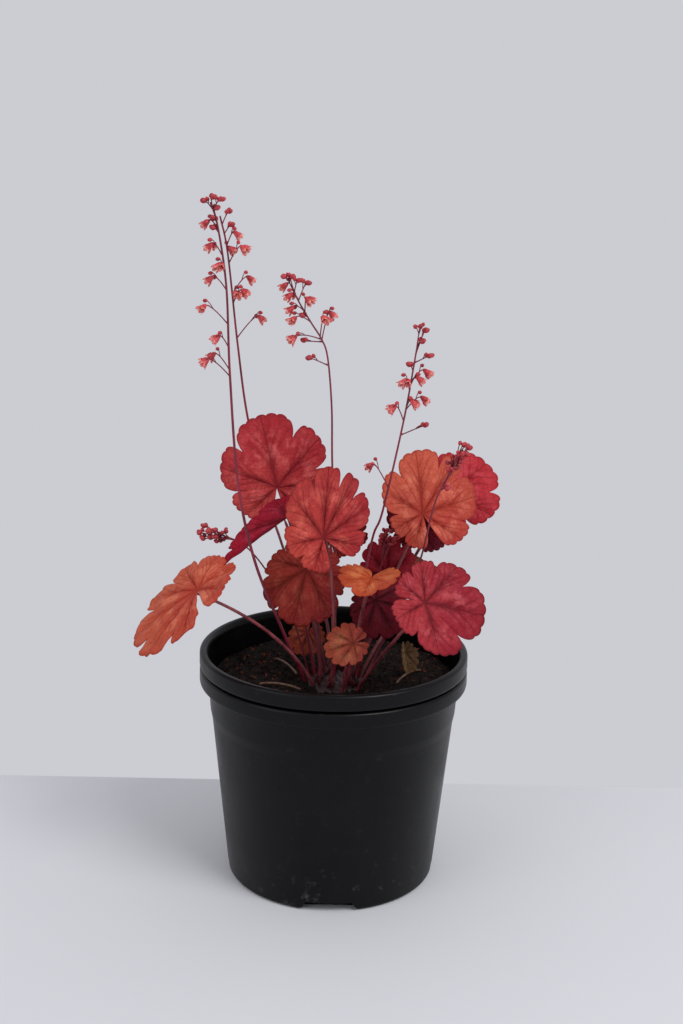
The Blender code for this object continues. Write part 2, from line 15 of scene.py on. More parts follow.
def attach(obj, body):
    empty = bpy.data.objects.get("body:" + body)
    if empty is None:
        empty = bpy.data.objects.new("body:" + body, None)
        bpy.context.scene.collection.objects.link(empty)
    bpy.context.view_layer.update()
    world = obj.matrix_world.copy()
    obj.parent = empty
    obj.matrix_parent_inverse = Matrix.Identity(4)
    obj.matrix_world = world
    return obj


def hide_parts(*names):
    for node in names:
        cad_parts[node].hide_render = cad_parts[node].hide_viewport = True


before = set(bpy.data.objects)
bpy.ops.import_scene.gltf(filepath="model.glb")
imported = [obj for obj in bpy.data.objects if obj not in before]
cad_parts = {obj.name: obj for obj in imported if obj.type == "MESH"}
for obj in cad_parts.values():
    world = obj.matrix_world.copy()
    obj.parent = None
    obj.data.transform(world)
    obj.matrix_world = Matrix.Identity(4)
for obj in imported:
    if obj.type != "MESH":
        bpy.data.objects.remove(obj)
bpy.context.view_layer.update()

MM = 0.001
GAP = 0.3

# Pots
POT_SIDES = 160
WALL = 0.75
BASE_RADIUS = 66.8
BASE_THICKNESS = 1.2
BASE_CORNER = 2.0
NECK_HEIGHT = 104.0
NECK_RADIUS = 77.0
COLLAR_BOTTOM = 110.0
COLLAR_RADIUS = 78.2
COLLAR_TOP_RADIUS = 80.1
RIM_BOTTOM = 128.5
POT_HEIGHT = 138.0
RIM_RADIUS = 85.0
RIM_SKIRT = 1.0
RIM_THICKNESS = 2.0
LIP_ROUND = 1.2
LIP_LEDGE = 0.9
LIP_DEPTH = 3.4
CORNER_ROUND = 0.8
SHARP_ANGLE = 50
NEST_LIFT = 11.0
NOTCH_COUNT = 4
NOTCH_HEIGHT = 6.0
NOTCH_TOP_WIDTH = 28.0
NOTCH_BOTTOM_WIDTH = 36.0
NOTCH_DEPTH = 9.0
OUTER_FIRST_NOTCH = 270.0
INNER_FIRST_NOTCH = 250.0

# Potting mix and crown
SOIL_TOP = 130.0
SOIL_BUMP = 1.6
SOIL_SIDES = 180
SOIL_RINGS = 60
SOIL_CENTRE = 1.2
SOIL_EDGE = 2.5
SOIL_FALL = 2.0
CROWN_CENTRE = (2.0, -13.0)
CROWN_RADIUS = 21.0
CROWN_BOTTOM = 113.0
CROWN_SHOULDER = 127.0
CROWN_TOP = 134.0
CROWN_SIDES = 64
SCALES_PER_LEAF = 3
SCALE_FOOT = 131.5
SCALE_FORM = ((0.0, 0.9), (0.35, 1.1), (0.7, 0.7), (1.0, 0.1))
STEM_ROOT = 124.0

# A crumb's rings: place along it and width. Its kinds: number, material, sizes and stretch
CRUMB_SIDES = 6
CRUMB_FORM = ((-0.9, 0.45), (-0.3, 1.0), (0.4, 0.9), (0.95, 0.35))
GRAIN, SLIVER, SCRAP, MOSS = range(4)
CRUMB_KINDS = (
    (1500, GRAIN, (0.35, 1.1), 1.0),
    (130, SLIVER, (0.35, 0.8), 3.2),
    (90, SCRAP, (0.4, 0.9), 2.0),
    (240, MOSS, (0.25, 0.6), 1.0),
)

# Leaves
BLADE_THICKNESS = 0.6
JUNCTION_OFFSET = 0.33
DEEP_CUT = 0.25
SHALLOW_CUT = 0.13
TOOTH_WIDTH = 5.9
TOOTH_DEPTH = 1.2
POINTS_PER_TOOTH = 8
RINGS = 26
SWELL = 0.034              # how far the tissue puffs up between veins, as a share of the blade
RIPPLE = 0.040
FURROW = 0.13
PETIOLE_SIDES = 10
PETIOLE_STEPS = 30
PETIOLE_RADIUS = 1.05

# Side veins of a lobe: where each leaves the main vein, how far across the
# lobe it gets and how strong it is. The widths are shares of the blade.
BRANCHES = ((0.22, 0.88, 0.8), (0.46, 0.58, 1.0), (0.70, 0.30, 0.7))
BRANCH_BEND = 0.7
VEIN_WOBBLE = 0.13
MAIN_WIDTHS = (0.020, 0.006)
# painted shade: width of the darkening in the furrow along the main vein
MAIN_FURROW_SHADE_WIDTH = 0.12
LINE_WIDTH = 0.010
# painted shade: width of the darkening in the furrow along a side vein
SIDE_FURROW_SHADE_WIDTH = 0.055

# Hairs: number to a millimetre of stem, and length
PETIOLE_HAIRS = (1.3, 1.1)
STALK_HAIRS = (0.5, 0.6)
HAIR_RADIUS = 0.06

# Flower stalks
STALK_SIDES = 10
STALK_STEP = 24.0
FINE_STEP = 3.0
PEDICEL_RADIUS = 0.36
PEDICEL_STEPS = 9
PEDICEL_SIDES = 7
FLORET_LENGTH = 6.4
FLORET_RADIUS = 2.3
BUD_LENGTH = 4.0
BUD_RADIUS = 1.5
GOLDEN_ANGLE = 137.5
SISTER_GAP = 3.0
RIBS = 5
CUP_SIDES = 20
CUP_RIPPLE = 0.08
BUD_SIDES = 15
BUD_RIPPLE = 0.06

# Forms from foot to tip: place along the axis and radius, as shares of the whole.
# The tips of a bell have place, distance from the axis and half width.
CUP_FORM = ((0.0, 0.22), (0.08, 0.42), (0.22, 0.58), (0.42, 0.74), (0.60, 0.90), (0.70, 0.94),
            (0.69, 0.82), (0.45, 0.62), (0.2, 0.40))
TIP_START = ((0.64, 0.86, 0.56), (0.80, 0.98, 0.54))
TIP_HALF_THICKNESS = 0.09
BUD_FORM = ((0.0, 0.35), (0.12, 0.70), (0.3, 0.95), (0.5, 1.0), (0.7, 0.88), (0.86, 0.60), (0.96, 0.28))
BRACT_FORM = ((0.0, 0.25), (0.6, 0.55), (1.4, 0.40), (2.2, 0.05))

# Dead stems
LITTER_STEPS = 24
LITTER_SIDES = 9

# Directions that no stem or flower runs along, from which a form's first side is turned
TUBE_START = (0.31, 0.95, 0.05)
SPIN_START = (0.2, 0.3, 0.93)

# Floor in millimetres
FLOOR_END = 120.0
FLOOR_SIDE = 3000.0
FLOOR_DROP = 0.2

# Camera and lights in metres, angles in degrees, lens and frame in millimetres.
# Each light has a name, place, size and power.
CAMERA_PLACE = (0.00323, -0.8545, 0.4573)
CAMERA_PITCH = 14.418
CAMERA_ROLL = 1.1
LENS = 50.0
FRAME_HEIGHT = 36.0
LIGHT_TARGET = (0, 0, 0.2)
LIGHTS = (("key", (0.9, -0.9, 1.5), 0.9, 16.0), ("fill", (-1.2, -1.0, 0.8), 1.2, 5.0))
BACKDROP = (204, 204, 211)

# turn: yaw, pitch and clock angle of the blade in degrees. bend: its fold, droop and
# dome in degrees and its wave. knee: the point that the petiole bends towards.
Leaf = namedtuple("Leaf", "name junction size width turn bend knee foot colour")

LEAVES = (
    Leaf("leaf_01", (-38, 20, 248), 35.0, 1.0, (8, 8, -6),
         (8, 8, 8, 2.0), (-14, 18, 185), (-4, -2), "coral"),
    Leaf("leaf_02", (-7, -44, 233), 32, 0.82, (-10, 14, 5),
         (10, 12, 10, 2.4), (4, -36, 185), (-2, -23), "coral"),
    Leaf("leaf_03", (-30, -10, 236), 38, 0.42, (202, 30, 134),
         (74, 4, 0, 0.8), (-16, 6, 190), (-6, -7), "crimson"),
    Leaf("leaf_04", (-17, -18, 206), 27, 1.0, (-16, 24, 190),
         (6, 14, 14, 1.2), (-8, -12, 180), (-8, -15), "russet"),
    Leaf("leaf_05", (-82, -38, 197), 40, 0.86, (-64, 50, 192),
         (6, 10, 6, 1.2), (-28, -20, 168), (-9, -20), "orange"),
    Leaf("leaf_06", (53, -6, 239), 32, 1.0, (18, 24, 35),
         (8, 8, 10, 2.6), (34, 4, 190), (9, -8), "orange"),
    Leaf("leaf_07", (74, 28, 243), 26, 1.0, (8, 30, 58),
         (4, 10, 10, 2.0), (40, 22, 190), (10, -2), "crimson"),
    Leaf("leaf_08", (54, 14, 225), 24, 1.0, (0, 18, 10),
         (6, 10, 10, 2.0), (28, 12, 180), (4, 2), "plum"),
    Leaf("leaf_09", (53, -60, 199), 29.5, 1.0, (20, 33, 108),
         (4, 8, 8, 2.4), (20, -36, 148), (13, -24), "rose"),
    Leaf("leaf_10", (22, -37, 206), 18, 1.15, (-14, 82, 180),
         (24, 6, 4, 0.8), (15, -32, 180), (8, -20), "orange"),
    Leaf("leaf_11", (25, -22, 188), 19, 1.0, (0, 20, 150),
         (6, 12, 10, 1.2), (20, -18, 165), (13, -13), "plum"),
    Leaf("leaf_12", (12, -54, 171), 14, 1.0, (-10, 40, 250),
         (10, 10, 10, 0.8), (10, -42, 158), (5, -29), "russet"),
    Leaf("leaf_13", (33, 3, 197), 18, 1.0, (-4, 5, 2),
         (6, 10, 10, 1.4), (18, 0, 172), (8, -3), "crimson"),
    Leaf("leaf_14", (-17, 26, 149), 13, 1.0, (-10, 50, 190),
         (8, 10, 10, 1.0), (-15, 10, 152), (-11, 0), "russet"),
    Leaf("leaf_15", (-4, 55, 204), 26, 1.0, (176, 30, 0),
         (8, 10, 12, 2.0), (0, 26, 180), (-1, 3), "coral"),
    Leaf("leaf_16", (-27, 50, 172), 24, 1.0, (210, 34, 0),
         (8, 10, 12, 2.0), (2, 34, 172), (-4, 5), "crimson"),
    Leaf("leaf_17", (66, 44, 180), 23, 1.0, (130, 36, 0),
         (8, 10, 12, 1.8), (34, 18, 166), (14, -7), "orange"),
)

# Angles from the tip of the cuts between a blade's lobes
EVEN_LOBES = (-168, -112, -65, -22, 22, 65, 112, 168)
LOBES = {
    "leaf_01": (-164, -90, -38, 25, 71, 116, 168),
    "leaf_02": (-206, -134, -80, -23, 10, 33, 73, 113),
    "leaf_05": (-78, -47, -4, 37, 69, 106, 160, 210, 270),
    "leaf_06": (-220, -172, -125, -59, -9, 16, 68, 120),
    "leaf_07": (-160, -105, -50, 28, 96, 165),
    "leaf_09": (-178, -125, -79, -34, 31, 99, 178),
}

# flowers and buds: their places seen from the front, across and up
Stalk = namedtuple("Stalk", "name route foot radius flowers buds")

STALKS = (
    Stalk("flower_stalk_01",
          ((-33, -22, 170), (-49, -26, 213), (-59, -26, 261), (-64, -24, 326), (-66, -24, 377),
           (-71, -24, 412), (-75, -24, 425)),
          (-15, -12), 0.95,
          ((-78, 413), (-76, 400), (-71, 389), (-76, 381), (-80, 365), (-72, 347), (-75, 336), (-78, 334)),
          ((-79, 426), (-73, 428), (-69, 427), (-74, 416), (-74, 411), (-71, 422))),
    Stalk("flower_stalk_02",
          ((-22, 0, 180), (-35, 18, 213), (-44, 29, 236), (-57, 31, 289), (-63, 24, 337), (-68, 10, 394),
           (-72, 4, 416)),
          (-10, -7), 0.9,
          ((-62, 405), (-66, 396), (-58, 397), (-55, 378), (-58, 370), (-62, 369), (-49, 353)),
          ((-66, 419), (-65, 411))),
    Stalk("flower_stalk_03",
          ((0, -7, 208), (-3, -1, 268), (-4, 3, 303), (-7, 6, 333), (-11, 7, 344), (-17, 8, 353),
           (-25, 9, 366), (-30, 9, 376)),
          (1, -12), 0.8,
          ((-34, 375), (-31, 369), (-19, 367), (-30, 361), (-29, 355), (-8, 356), (-5, 358), (-28, 344)),
          ((-34, 381), (-29, 381), (-25, 379), (-20, 377), (-23, 358), (-22, 343), (-18, 332))),
    Stalk("flower_stalk_04",
          ((13, -12, 165), (22, -18, 224), (28, -22, 244), (39, -26, 301), (46, -24, 347)),
          (4, -17), 0.8,
          ((48, 325), (52, 329), (38, 324), (51, 313), (45, 311), (32, 308), (20, 271)),
          ((47, 357), (51, 354), (49, 348), (53, 340), (41, 334), (52, 299))),
    Stalk("flower_stalk_05",
          ((40, -10, 178), (46, -19, 197), (52, -28, 218), (59, -34, 254), (68, -36, 275)),
          (15, -17), 0.75,
          (),
          ((78, 287), (75, 288), (73, 285), (76, 283), (70, 282), (74, 280), (68, 278), (66, 274), (71, 275),
           (66, 263))),
    Stalk("flower_stalk_06",
          ((-28, 2, 172), (-45, 14, 196), (-59, 19, 210), (-74, 18, 217)),
          (-13, -6), 0.7,
          (),
          ((-87, 218), (-85, 221), (-81, 220), (-78, 219), (-85, 215), (-80, 215), (-74, 212), (-70, 219),
           (-76, 216))),
    Stalk("flower_stalk_07",
          ((14, -14, 160), (23, -6, 183), (31, 0, 213)),
          (8, -14), 0.7,
          (),
          ((29, 223), (32, 225), (36, 223), (28, 219), (32, 221), (36, 219), (31, 217))),
)

# Dead stems: name, two ends, height of the arch and radius
LITTER = (
    ("dead_stem_01", (-38, 22, 132.0), (-23, -6, 132.5), 2.0, 0.9),
    ("dead_stem_02", (-46, -22, 131.5), (-20, -30, 131.5), 2.0, 0.8),
    ("dead_stem_03", (40, -14, 130.9), (56, 8, 131.4), 2.5, 0.8),
)
DRY_LEAF = Leaf("dry_leaf", (46, 7, 143.8), 11, 1.0, (20, 20, 180), (58, 0, 0, 0.0), None, None, "litter")

Look = namedtuple("Look", "deep light vein lean tone")

# Colours as they look in daylight, 0 to 255. lean: the direction in which the
# light colour gathers, in degrees from the leaf's tip. tone: how much of it there is.
# The third colour is that of the veins, and also of the painted shade in the furrows beside them.
LOOKS = {
    "leaf_01": Look((188, 50, 46), (224, 92, 78), (112, 14, 24), 200, 0.50),
    "leaf_02": Look((176, 46, 44), (226, 92, 64), (108, 16, 22), 250, 0.52),
    "leaf_03": Look((126, 6, 28), (158, 18, 42), (88, 2, 16), 0, 0.35),
    "leaf_04": Look((132, 40, 18), (176, 70, 34), (96, 24, 10), 90, 0.45),
    "leaf_05": Look((210, 84, 46), (236, 126, 76), (156, 40, 26), 60, 0.55),
    "leaf_06": Look((198, 68, 42), (234, 118, 78), (138, 32, 22), 300, 0.55),
    "leaf_07": Look((180, 22, 34), (214, 56, 56), (124, 6, 20), 0, 0.40),
    "leaf_08": Look((76, 6, 24), (110, 18, 36), (48, 2, 12), 0, 0.40),
    "leaf_09": Look((156, 34, 40), (196, 68, 66), (92, 10, 20), 180, 0.45),
    "leaf_10": Look((206, 92, 30), (230, 130, 58), (168, 58, 22), 200, 0.55),
    "leaf_11": Look((56, 0, 3), (80, 4, 8), (36, 0, 3), 0, 0.40),
    "leaf_12": Look((112, 52, 20), (150, 82, 34), (80, 28, 12), 0, 0.50),
    "leaf_13": Look((138, 12, 26), (178, 28, 40), (88, 2, 14), 0, 0.40),
    "leaf_14": Look((128, 58, 20), (166, 86, 34), (80, 28, 12), 0, 0.50),
    "leaf_15": Look((164, 42, 44), (204, 82, 72), (96, 14, 24), 90, 0.50),
    "leaf_16": Look((124, 16, 34), (164, 40, 52), (84, 4, 20), 0, 0.40),
    "leaf_17": Look((190, 70, 44), (222, 116, 80), (134, 30, 26), 0, 0.50),
    "dry_leaf": Look((96, 72, 48), (136, 108, 74), (60, 42, 28), 0, 0.50),
}


# Materials

def linear(colour):
    """Scene-linear RGBA of a colour given as it looks, 0 to 255."""
    parts = []
    for value in colour:
        share = value / 255.0
        parts.append(share / 12.92 if share <= 0.04045 else ((share + 0.055) / 1.055) ** 2.4)
    return (*parts, 1.0)


class Graph:
    """Short ways to add shader nodes to a material."""

    def __init__(self, name):
        self.material = bpy.data.materials.new(name)
        self.material.use_nodes = True
        self.tree = self.material.node_tree
        self.shader = self.tree.nodes["Principled BSDF"]

    def put(self, socket, value):
        if isinstance(value, bpy.types.NodeSocket):
            self.tree.links.new(value, socket)
        else:
            socket.default_value = value

    def node(self, kind, **settings):
        made = self.tree.nodes.new(kind)
        for key, value in settings.items():
            setattr(made, key, value)
        return made

    def feed(self, made, **values):
        for key, value in values.items():
            self.put(made.inputs[key.replace("_", " ")], value)
        return made

    def math(self, operation, *values, clamp=False):
        made = self.node("ShaderNodeMath", operation=operation, use_clamp=clamp)
        for socket, value in zip(made.inputs, values):
            self.put(socket, value)
        return made.outputs[0]

    def times(self, first, second):
        return self.math("MULTIPLY", first, second)

    def mix(self, share, first, second):
        made = self.node("ShaderNodeMix", data_type="RGBA")
        self.put(made.inputs[0], share)
        self.put(made.inputs[6], first)
        self.put(made.inputs[7], second)
        return made.outputs[2]

    def fade(self, value, low, high, start=0.0, end=1.0):
        """Runs from start to end as the value goes from low to high."""
        made = self.node("ShaderNodeMapRange", interpolation_type="SMOOTHSTEP")
        for socket, item in zip(made.inputs, (value, low, high, start, end)):
            self.put(socket, item)
        return made.outputs[0]

    def field(self, name):
        """A value that the mesh carries at each point."""
        return self.node("ShaderNodeAttribute", attribute_name=name).outputs["Fac"]

    def place(self, stretch=(1, 1, 1)):
        where = self.node("ShaderNodeTexCoord").outputs["Object"]
        if stretch == (1, 1, 1):
            return where
        return self.feed(self.node("ShaderNodeMapping"), Vector=where, Scale=stretch).outputs[0]

    def noise(self, scale, detail=3.0, rough=0.55, stretch=(1, 1, 1)):
        made = self.node("ShaderNodeTexNoise")
        self.feed(made, Vector=self.place(stretch), Scale=scale, Detail=detail, Roughness=rough)
        return made.outputs["Fac"]

    def cells(self, scale):
        """Distance to the nearest border between cells."""
        made = self.node("ShaderNodeTexVoronoi", feature="DISTANCE_TO_EDGE")
        return self.feed(made, Vector=self.place(), Scale=scale).outputs["Distance"]

    def bump(self, height, distance, strength):
        made = self.node("ShaderNodeBump")
        self.feed(made, Strength=strength, Distance=distance, Height=height)
        self.set(Normal=made.outputs[0])

    def set(self, **values):
        self.feed(self.shader, **values)


def leaf_vein_fields(graph):
    """How strongly veins of each order, and the painted shade in the furrows beside them, run through a
    point of a blade, and how far out it lies.
    """
    split = graph.node("ShaderNodeSeparateXYZ")
    graph.put(split.inputs[0], graph.node("ShaderNodeUVMap", uv_map="blade").outputs[0])
    lobe, reach = split.outputs[0], split.outputs[1]
    turn = graph.math("FRACT", graph.times(lobe, 0.5))
    place = graph.math("MULTIPLY_ADD", turn, 2.0, -1.0)
    wobble = graph.math("MULTIPLY_ADD", graph.noise(90.0), 2 * VEIN_WOBBLE, -VEIN_WOBBLE)
    aside = graph.math("ABSOLUTE", graph.math("ADD", place, wobble))
    spread = graph.times(reach, graph.field("half"))
    from_main = graph.times(aside, spread)
    main = graph.math("DIVIDE", from_main, graph.fade(reach, 0.0, 1.0, *MAIN_WIDTHS))
    main = graph.fade(main, 0.3, 1.4, 1.0, 0.0)
    # painted shade: darkening in the broad furrow along the main vein
    main_furrow_shade = graph.fade(from_main, 0.0, MAIN_FURROW_SHADE_WIDTH, 1.0, 0.0)
    main_furrow_shade = graph.times(main_furrow_shade, graph.fade(reach, 0.3, 0.95, 1.0, 0.25))
    line, side_furrow_shade = 0.0, 0.0
    for start, reach_out, strength in BRANCHES:
        along = graph.math("DIVIDE", graph.math("SUBTRACT", reach, start), 1.0 - start)
        target = graph.math("POWER", graph.math("MAXIMUM", along, 0.0), BRANCH_BEND)
        away = graph.math("SUBTRACT", aside, graph.times(target, reach_out))
        away = graph.times(graph.math("ABSOLUTE", away), spread)
        there = graph.times(graph.fade(along, 0.0, 0.06), graph.fade(along, 0.5, 1.0, strength, 0.3))
        thin = graph.times(graph.fade(away, 0.001, LINE_WIDTH, 1.0, 0.0), there)
        # painted shade: darkening in the furrow along each side vein
        soft = graph.times(graph.fade(away, 0.0, SIDE_FURROW_SHADE_WIDTH, 1.0, 0.0), there)
        line = graph.math("MAXIMUM", thin, line)
        side_furrow_shade = graph.math("MAXIMUM", soft, side_furrow_shade)
    net = graph.fade(graph.cells(300.0), 0.0, 0.14, 1.0, 0.0)
    return main, main_furrow_shade, line, side_furrow_shade, net, reach


def leaf_material(name, look, back=False):
    """A living blade: puffed and pale between its palmate veins, dark along them, with painted shade in the
    furrows beside them.
    """
    graph = Graph(name + ("_back" if back else "_face"))
    main, main_furrow_shade, line, side_furrow_shade, net, reach = leaf_vein_fields(graph)
    cloud = graph.noise(48.0, 4.0, 0.6)
    share = graph.math("MULTIPLY_ADD", cloud, 1.3, -0.65)
    share = graph.math("ADD", graph.field("tone"), share, clamp=True)
    colour = graph.mix(share, linear(look.deep), linear(look.light))
    if back:
        colour = graph.mix(0.55, colour, linear((132, 26, 46)))
    blush = graph.fade(graph.noise(120.0, 3.0, 0.6), 0.42, 0.68)
    blush = graph.times(blush, graph.fade(reach, 0.15, 0.45))
    blush = graph.times(blush, graph.fade(reach, 0.6, 0.95, 1.0, 0.25))
    pale = tuple(0.80 * c + p for c, p in zip(look.light, (48, 40, 46)))
    colour = graph.mix(graph.times(blush, 0.50), colour, linear(pale))
    margin = graph.fade(reach, 0.93, 1.0)
    # The vein colour darkens the veins, the net and the margin, and paints shade into the furrows beside the
    # veins
    veins_and_painted_shade = ((main_furrow_shade, 0.58), (side_furrow_shade, 0.22), (line, 0.16), (main, 0.62), (net, 0.16), (margin, 0.45))
    for where, strength in veins_and_painted_shade:
        colour = graph.mix(graph.times(where, strength), colour, linear(look.vein))
    sunk = graph.math("MAXIMUM", graph.math("MAXIMUM", main, line), graph.times(net, 0.45))
    grain = graph.times(graph.noise(600.0, 2.0), 0.5)
    graph.bump(graph.math("ADD", graph.times(sunk, 1.0 if back else -1.0), grain), 0.0004, 0.9)
    graph.set(Base_Color=colour, Roughness=graph.fade(cloud, 0.3, 0.7, 0.48, 0.64))
    graph.set(Specular_IOR_Level=0.12, Subsurface_Weight=0.10, Subsurface_Scale=0.002)
    return graph.material


def stem_material(name, deep, light, scale=160.0):
    """Streaked along the plant's height, with a fine grain."""
    graph = Graph(name)
    streak = graph.noise(scale, 4.0, 0.6, (1, 1, 0.25))
    colour = graph.mix(graph.fade(streak, 0.3, 0.7), linear(deep), linear(light))
    graph.bump(graph.noise(900.0, 2.0, 0.5, (1, 1, 0.3)), 0.0002, 0.6)
    graph.set(Base_Color=colour, Roughness=graph.fade(streak, 0.3, 0.7, 0.38, 0.55))
    graph.set(Subsurface_Weight=0.08, Subsurface_Scale=0.001)
    return graph.material


def pot_material():
    """Black moulded plastic with a worn sheen, fine scratches and a little dust."""
    graph = Graph("black_plastic")
    smudge = graph.noise(22.0, 5.0, 0.62)
    rub = graph.noise(60.0, 6.0, 0.7, (1, 1, 9))
    scratch = graph.fade(rub, 0.66, 0.72)
    split = graph.node("ShaderNodeSeparateXYZ")
    graph.put(split.inputs[0], graph.place())
    low = graph.fade(split.outputs[2], 0.010, 0.045, 1.0, 0.0)
    patch = graph.fade(graph.noise(130.0, 6.0, 0.7), 0.56, 0.74)
    dust = graph.times(patch, graph.math("ADD", low, 0.18))
    colour = graph.mix(graph.fade(smudge, 0.3, 0.75), linear((3, 3, 4)), linear((8, 8, 10)))
    colour = graph.mix(graph.times(scratch, 0.28), colour, linear((62, 62, 68)))
    colour = graph.mix(graph.times(dust, 0.35), colour, linear((96, 92, 90)))
    rough = graph.math("ADD", graph.fade(smudge, 0.3, 0.75, 0.30, 0.44), graph.times(dust, 0.25))
    graph.bump(graph.math("ADD", graph.noise(1500.0, 2.0), graph.times(scratch, -0.6)), 0.00012, 0.5)
    graph.set(Base_Color=colour, Roughness=rough, Specular_IOR_Level=0.17)
    return graph.material


def soil_material(name, deep, light, scale=420.0):
    """Matt and crumbly, with brown flecks."""
    graph = Graph(name)
    grain = graph.noise(scale, 6.0, 0.7)
    fleck = graph.fade(graph.noise(260.0, 3.0, 0.6), 0.62, 0.7)
    colour = graph.mix(graph.fade(grain, 0.3, 0.7), linear(deep), linear(light))
    colour = graph.mix(graph.times(fleck, 0.5), colour, linear((92, 50, 30)))
    graph.bump(grain, 0.001, 0.9)
    graph.set(Base_Color=colour, Roughness=0.95, Specular_IOR_Level=0.25)
    return graph.material


def hair_material():
    """The pale down of stems."""
    graph = Graph("hair")
    graph.set(Base_Color=linear((196, 150, 148)), Roughness=0.6)
    return graph.material


# Mesh helpers

def unit(vector):
    vector = np.asarray(vector, float)
    return vector / np.linalg.norm(vector)


def around(count):
    """Angles evenly spaced round a circle."""
    return [2 * math.pi * i / count for i in range(count)]


def spoke(angle, first, second):
    """The direction at an angle from one direction towards another."""
    return math.cos(angle) * first + math.sin(angle) * second


def place_data(name, data):
    """An object in the scene that shows a mesh, light or camera."""
    thing = bpy.data.objects.new(name, data)
    bpy.context.scene.collection.objects.link(thing)
    return thing


def make_object(name, points, faces, materials, slots=None, smooth=True):
    """A mesh object from points in millimetres; slots gives each face's material."""
    mesh = bpy.data.meshes.new(name)
    mesh.from_pydata((np.asarray(points, float) * MM).tolist(), [], faces)
    thing = place_data(name, mesh)
    for material in materials:
        mesh.materials.append(material)
    if slots is not None:
        mesh.polygons.foreach_set("material_index", np.asarray(slots, np.int32))
    if smooth:
        mesh.shade_smooth()
    mesh.update()
    return thing


def take_place(thing, slot, *nodes):
    """The piece rides on the object and stands for the named nodes."""
    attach(thing, "root")
    if nodes:
        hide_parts(*nodes)


class Shape:
    """Collects closed shells in one mesh."""

    def __init__(self):
        self.points, self.faces, self.slots = [], [], []

    def add(self, points, faces, slot=0):
        base = len(self.points)
        self.points.extend(points)
        self.faces.extend(tuple(base + i for i in face) for face in faces)
        self.slots.extend([slot] * len(faces))

    def make(self, name, materials, slot, *nodes, smooth=True):
        """Makes one piece of the shells, in the place of the named nodes."""
        thing = make_object(name, self.points, self.faces, materials, self.slots, smooth)
        take_place(thing, slot, *nodes)


def stack_faces(rings, sides):
    """Faces of a closed form whose points come ring by ring."""
    faces = []
    for k in range(rings - 1):
        for i in range(sides):
            j = (i + 1) % sides
            faces.append((k * sides + i, k * sides + j, (k + 1) * sides + j, (k + 1) * sides + i))
    faces.append(tuple(range(sides))[::-1])
    faces.append(tuple(range((rings - 1) * sides, rings * sides)))
    return faces


def tube(route, radii, sides):
    """A closed round tube along a list of points."""
    route = [np.asarray(p, float) for p in route]
    points, side = [], None
    for k, (centre, radius) in enumerate(zip(route, radii)):
        along = unit(route[min(k + 1, len(route) - 1)] - route[max(k - 1, 0)])
        if side is None:
            side = unit(np.cross(along, TUBE_START))
        side = unit(side - along * side.dot(along))
        other = np.cross(along, side)
        points += [centre + radius * spoke(angle, side, other) for angle in around(sides)]
    return points, stack_faces(len(route), sides)


def spun(start, along, profile, sides, ripple=0.0):
    """A closed form turned about an axis; ripple gives it ribs."""
    side = unit(np.cross(along, SPIN_START))
    other = np.cross(along, side)
    points = []
    for share, radius in profile:
        for angle in around(sides):
            width = radius * (1 + ripple * math.cos(RIBS * angle))
            points.append(start + along * share + spoke(angle, side, other) * width)
    return points, stack_faces(len(profile), sides)


def lathe(profile, sides, centre=(0.0, 0.0)):
    """Turn a closed (radius, height) profile; points on the axis are shared."""
    points, rings = [], []
    for radius, height in profile:
        ring = []
        for angle in around(sides if radius > 0 else 1):
            ring.append(len(points))
            x, y = centre[0] + radius * math.cos(angle), centre[1] + radius * math.sin(angle)
            points.append((x, y, height))
        rings.append(ring)
    faces = []
    for a, b in zip(rings, rings[1:] + rings[:1]):
        if len(a) == 1 and len(b) == 1:
            continue
        for i in range(sides):
            j = (i + 1) % sides
            corners = [a[i % len(a)], a[j % len(a)], b[j % len(b)], b[i % len(b)]]
            faces.append(tuple(dict.fromkeys(corners)))
    return points, faces


def curve_through(points, step):
    """Points about a step apart on a smooth curve through the given points."""
    points = [np.asarray(p, float) for p in points]
    ends = [2 * points[0] - points[1]] + points + [2 * points[-1] - points[-2]]
    found = [points[0]]
    for a, b, c, d in zip(ends, ends[1:], ends[2:], ends[3:]):
        count = max(1, round(np.linalg.norm(c - b) / step))
        for k in range(1, count + 1):
            t = k / count
            found.append(0.5 * (2 * b + (c - a) * t + (2 * a - 5 * b + 4 * c - d) * t ** 2
                                + (3 * b - a - 3 * c + d) * t ** 3))
    return found


def bow(start, middle, end, count):
    """A curve that leaves start towards middle and arrives at end from it."""
    start, middle, end = (np.asarray(p, float) for p in (start, middle, end))
    steps = [k / count for k in range(count + 1)]
    return [(1 - t) ** 2 * start + 2 * t * (1 - t) * middle + t ** 2 * end for t in steps]


def add_hairs(shape, route, radii, per_mm, length, draw):
    """Fine pointed hairs that stand out of a stem."""
    for start, end, radius in zip(route, route[1:], radii):
        along = unit(end - start)
        side = unit(np.cross(along, TUBE_START))
        other = np.cross(along, side)
        for _ in range(round(per_mm * np.linalg.norm(end - start))):
            out = spoke(draw.uniform(0, 2 * math.pi), side, other)
            foot = start + (end - start) * draw.random() + out * radius * 0.85
            lean = unit(out + along * draw.uniform(-0.25, 0.5))
            tip = foot + lean * length * draw.uniform(0.6, 1.2)
            first = unit(np.cross(lean, along))
            second = np.cross(lean, first)
            ring = [foot + HAIR_RADIUS * spoke(angle, first, second) for angle in (0.0, 2.1, 4.2)]
            shape.add(ring + [tip], [(0, 1, 3), (1, 2, 3), (2, 0, 3), (2, 1, 0)], 1)


# Leaves

def leaf_frame(turn):
    """Across, tip and face directions of a blade."""
    yaw, pitch, clock = (math.radians(a) for a in turn)
    face = np.array([math.sin(yaw) * math.cos(pitch), -math.cos(yaw) * math.cos(pitch), math.sin(pitch)])
    rise = unit((0, 0, 1) - face * face[2])
    tip = spoke(clock, rise, np.cross(rise, face))
    return np.cross(tip, face), tip, face


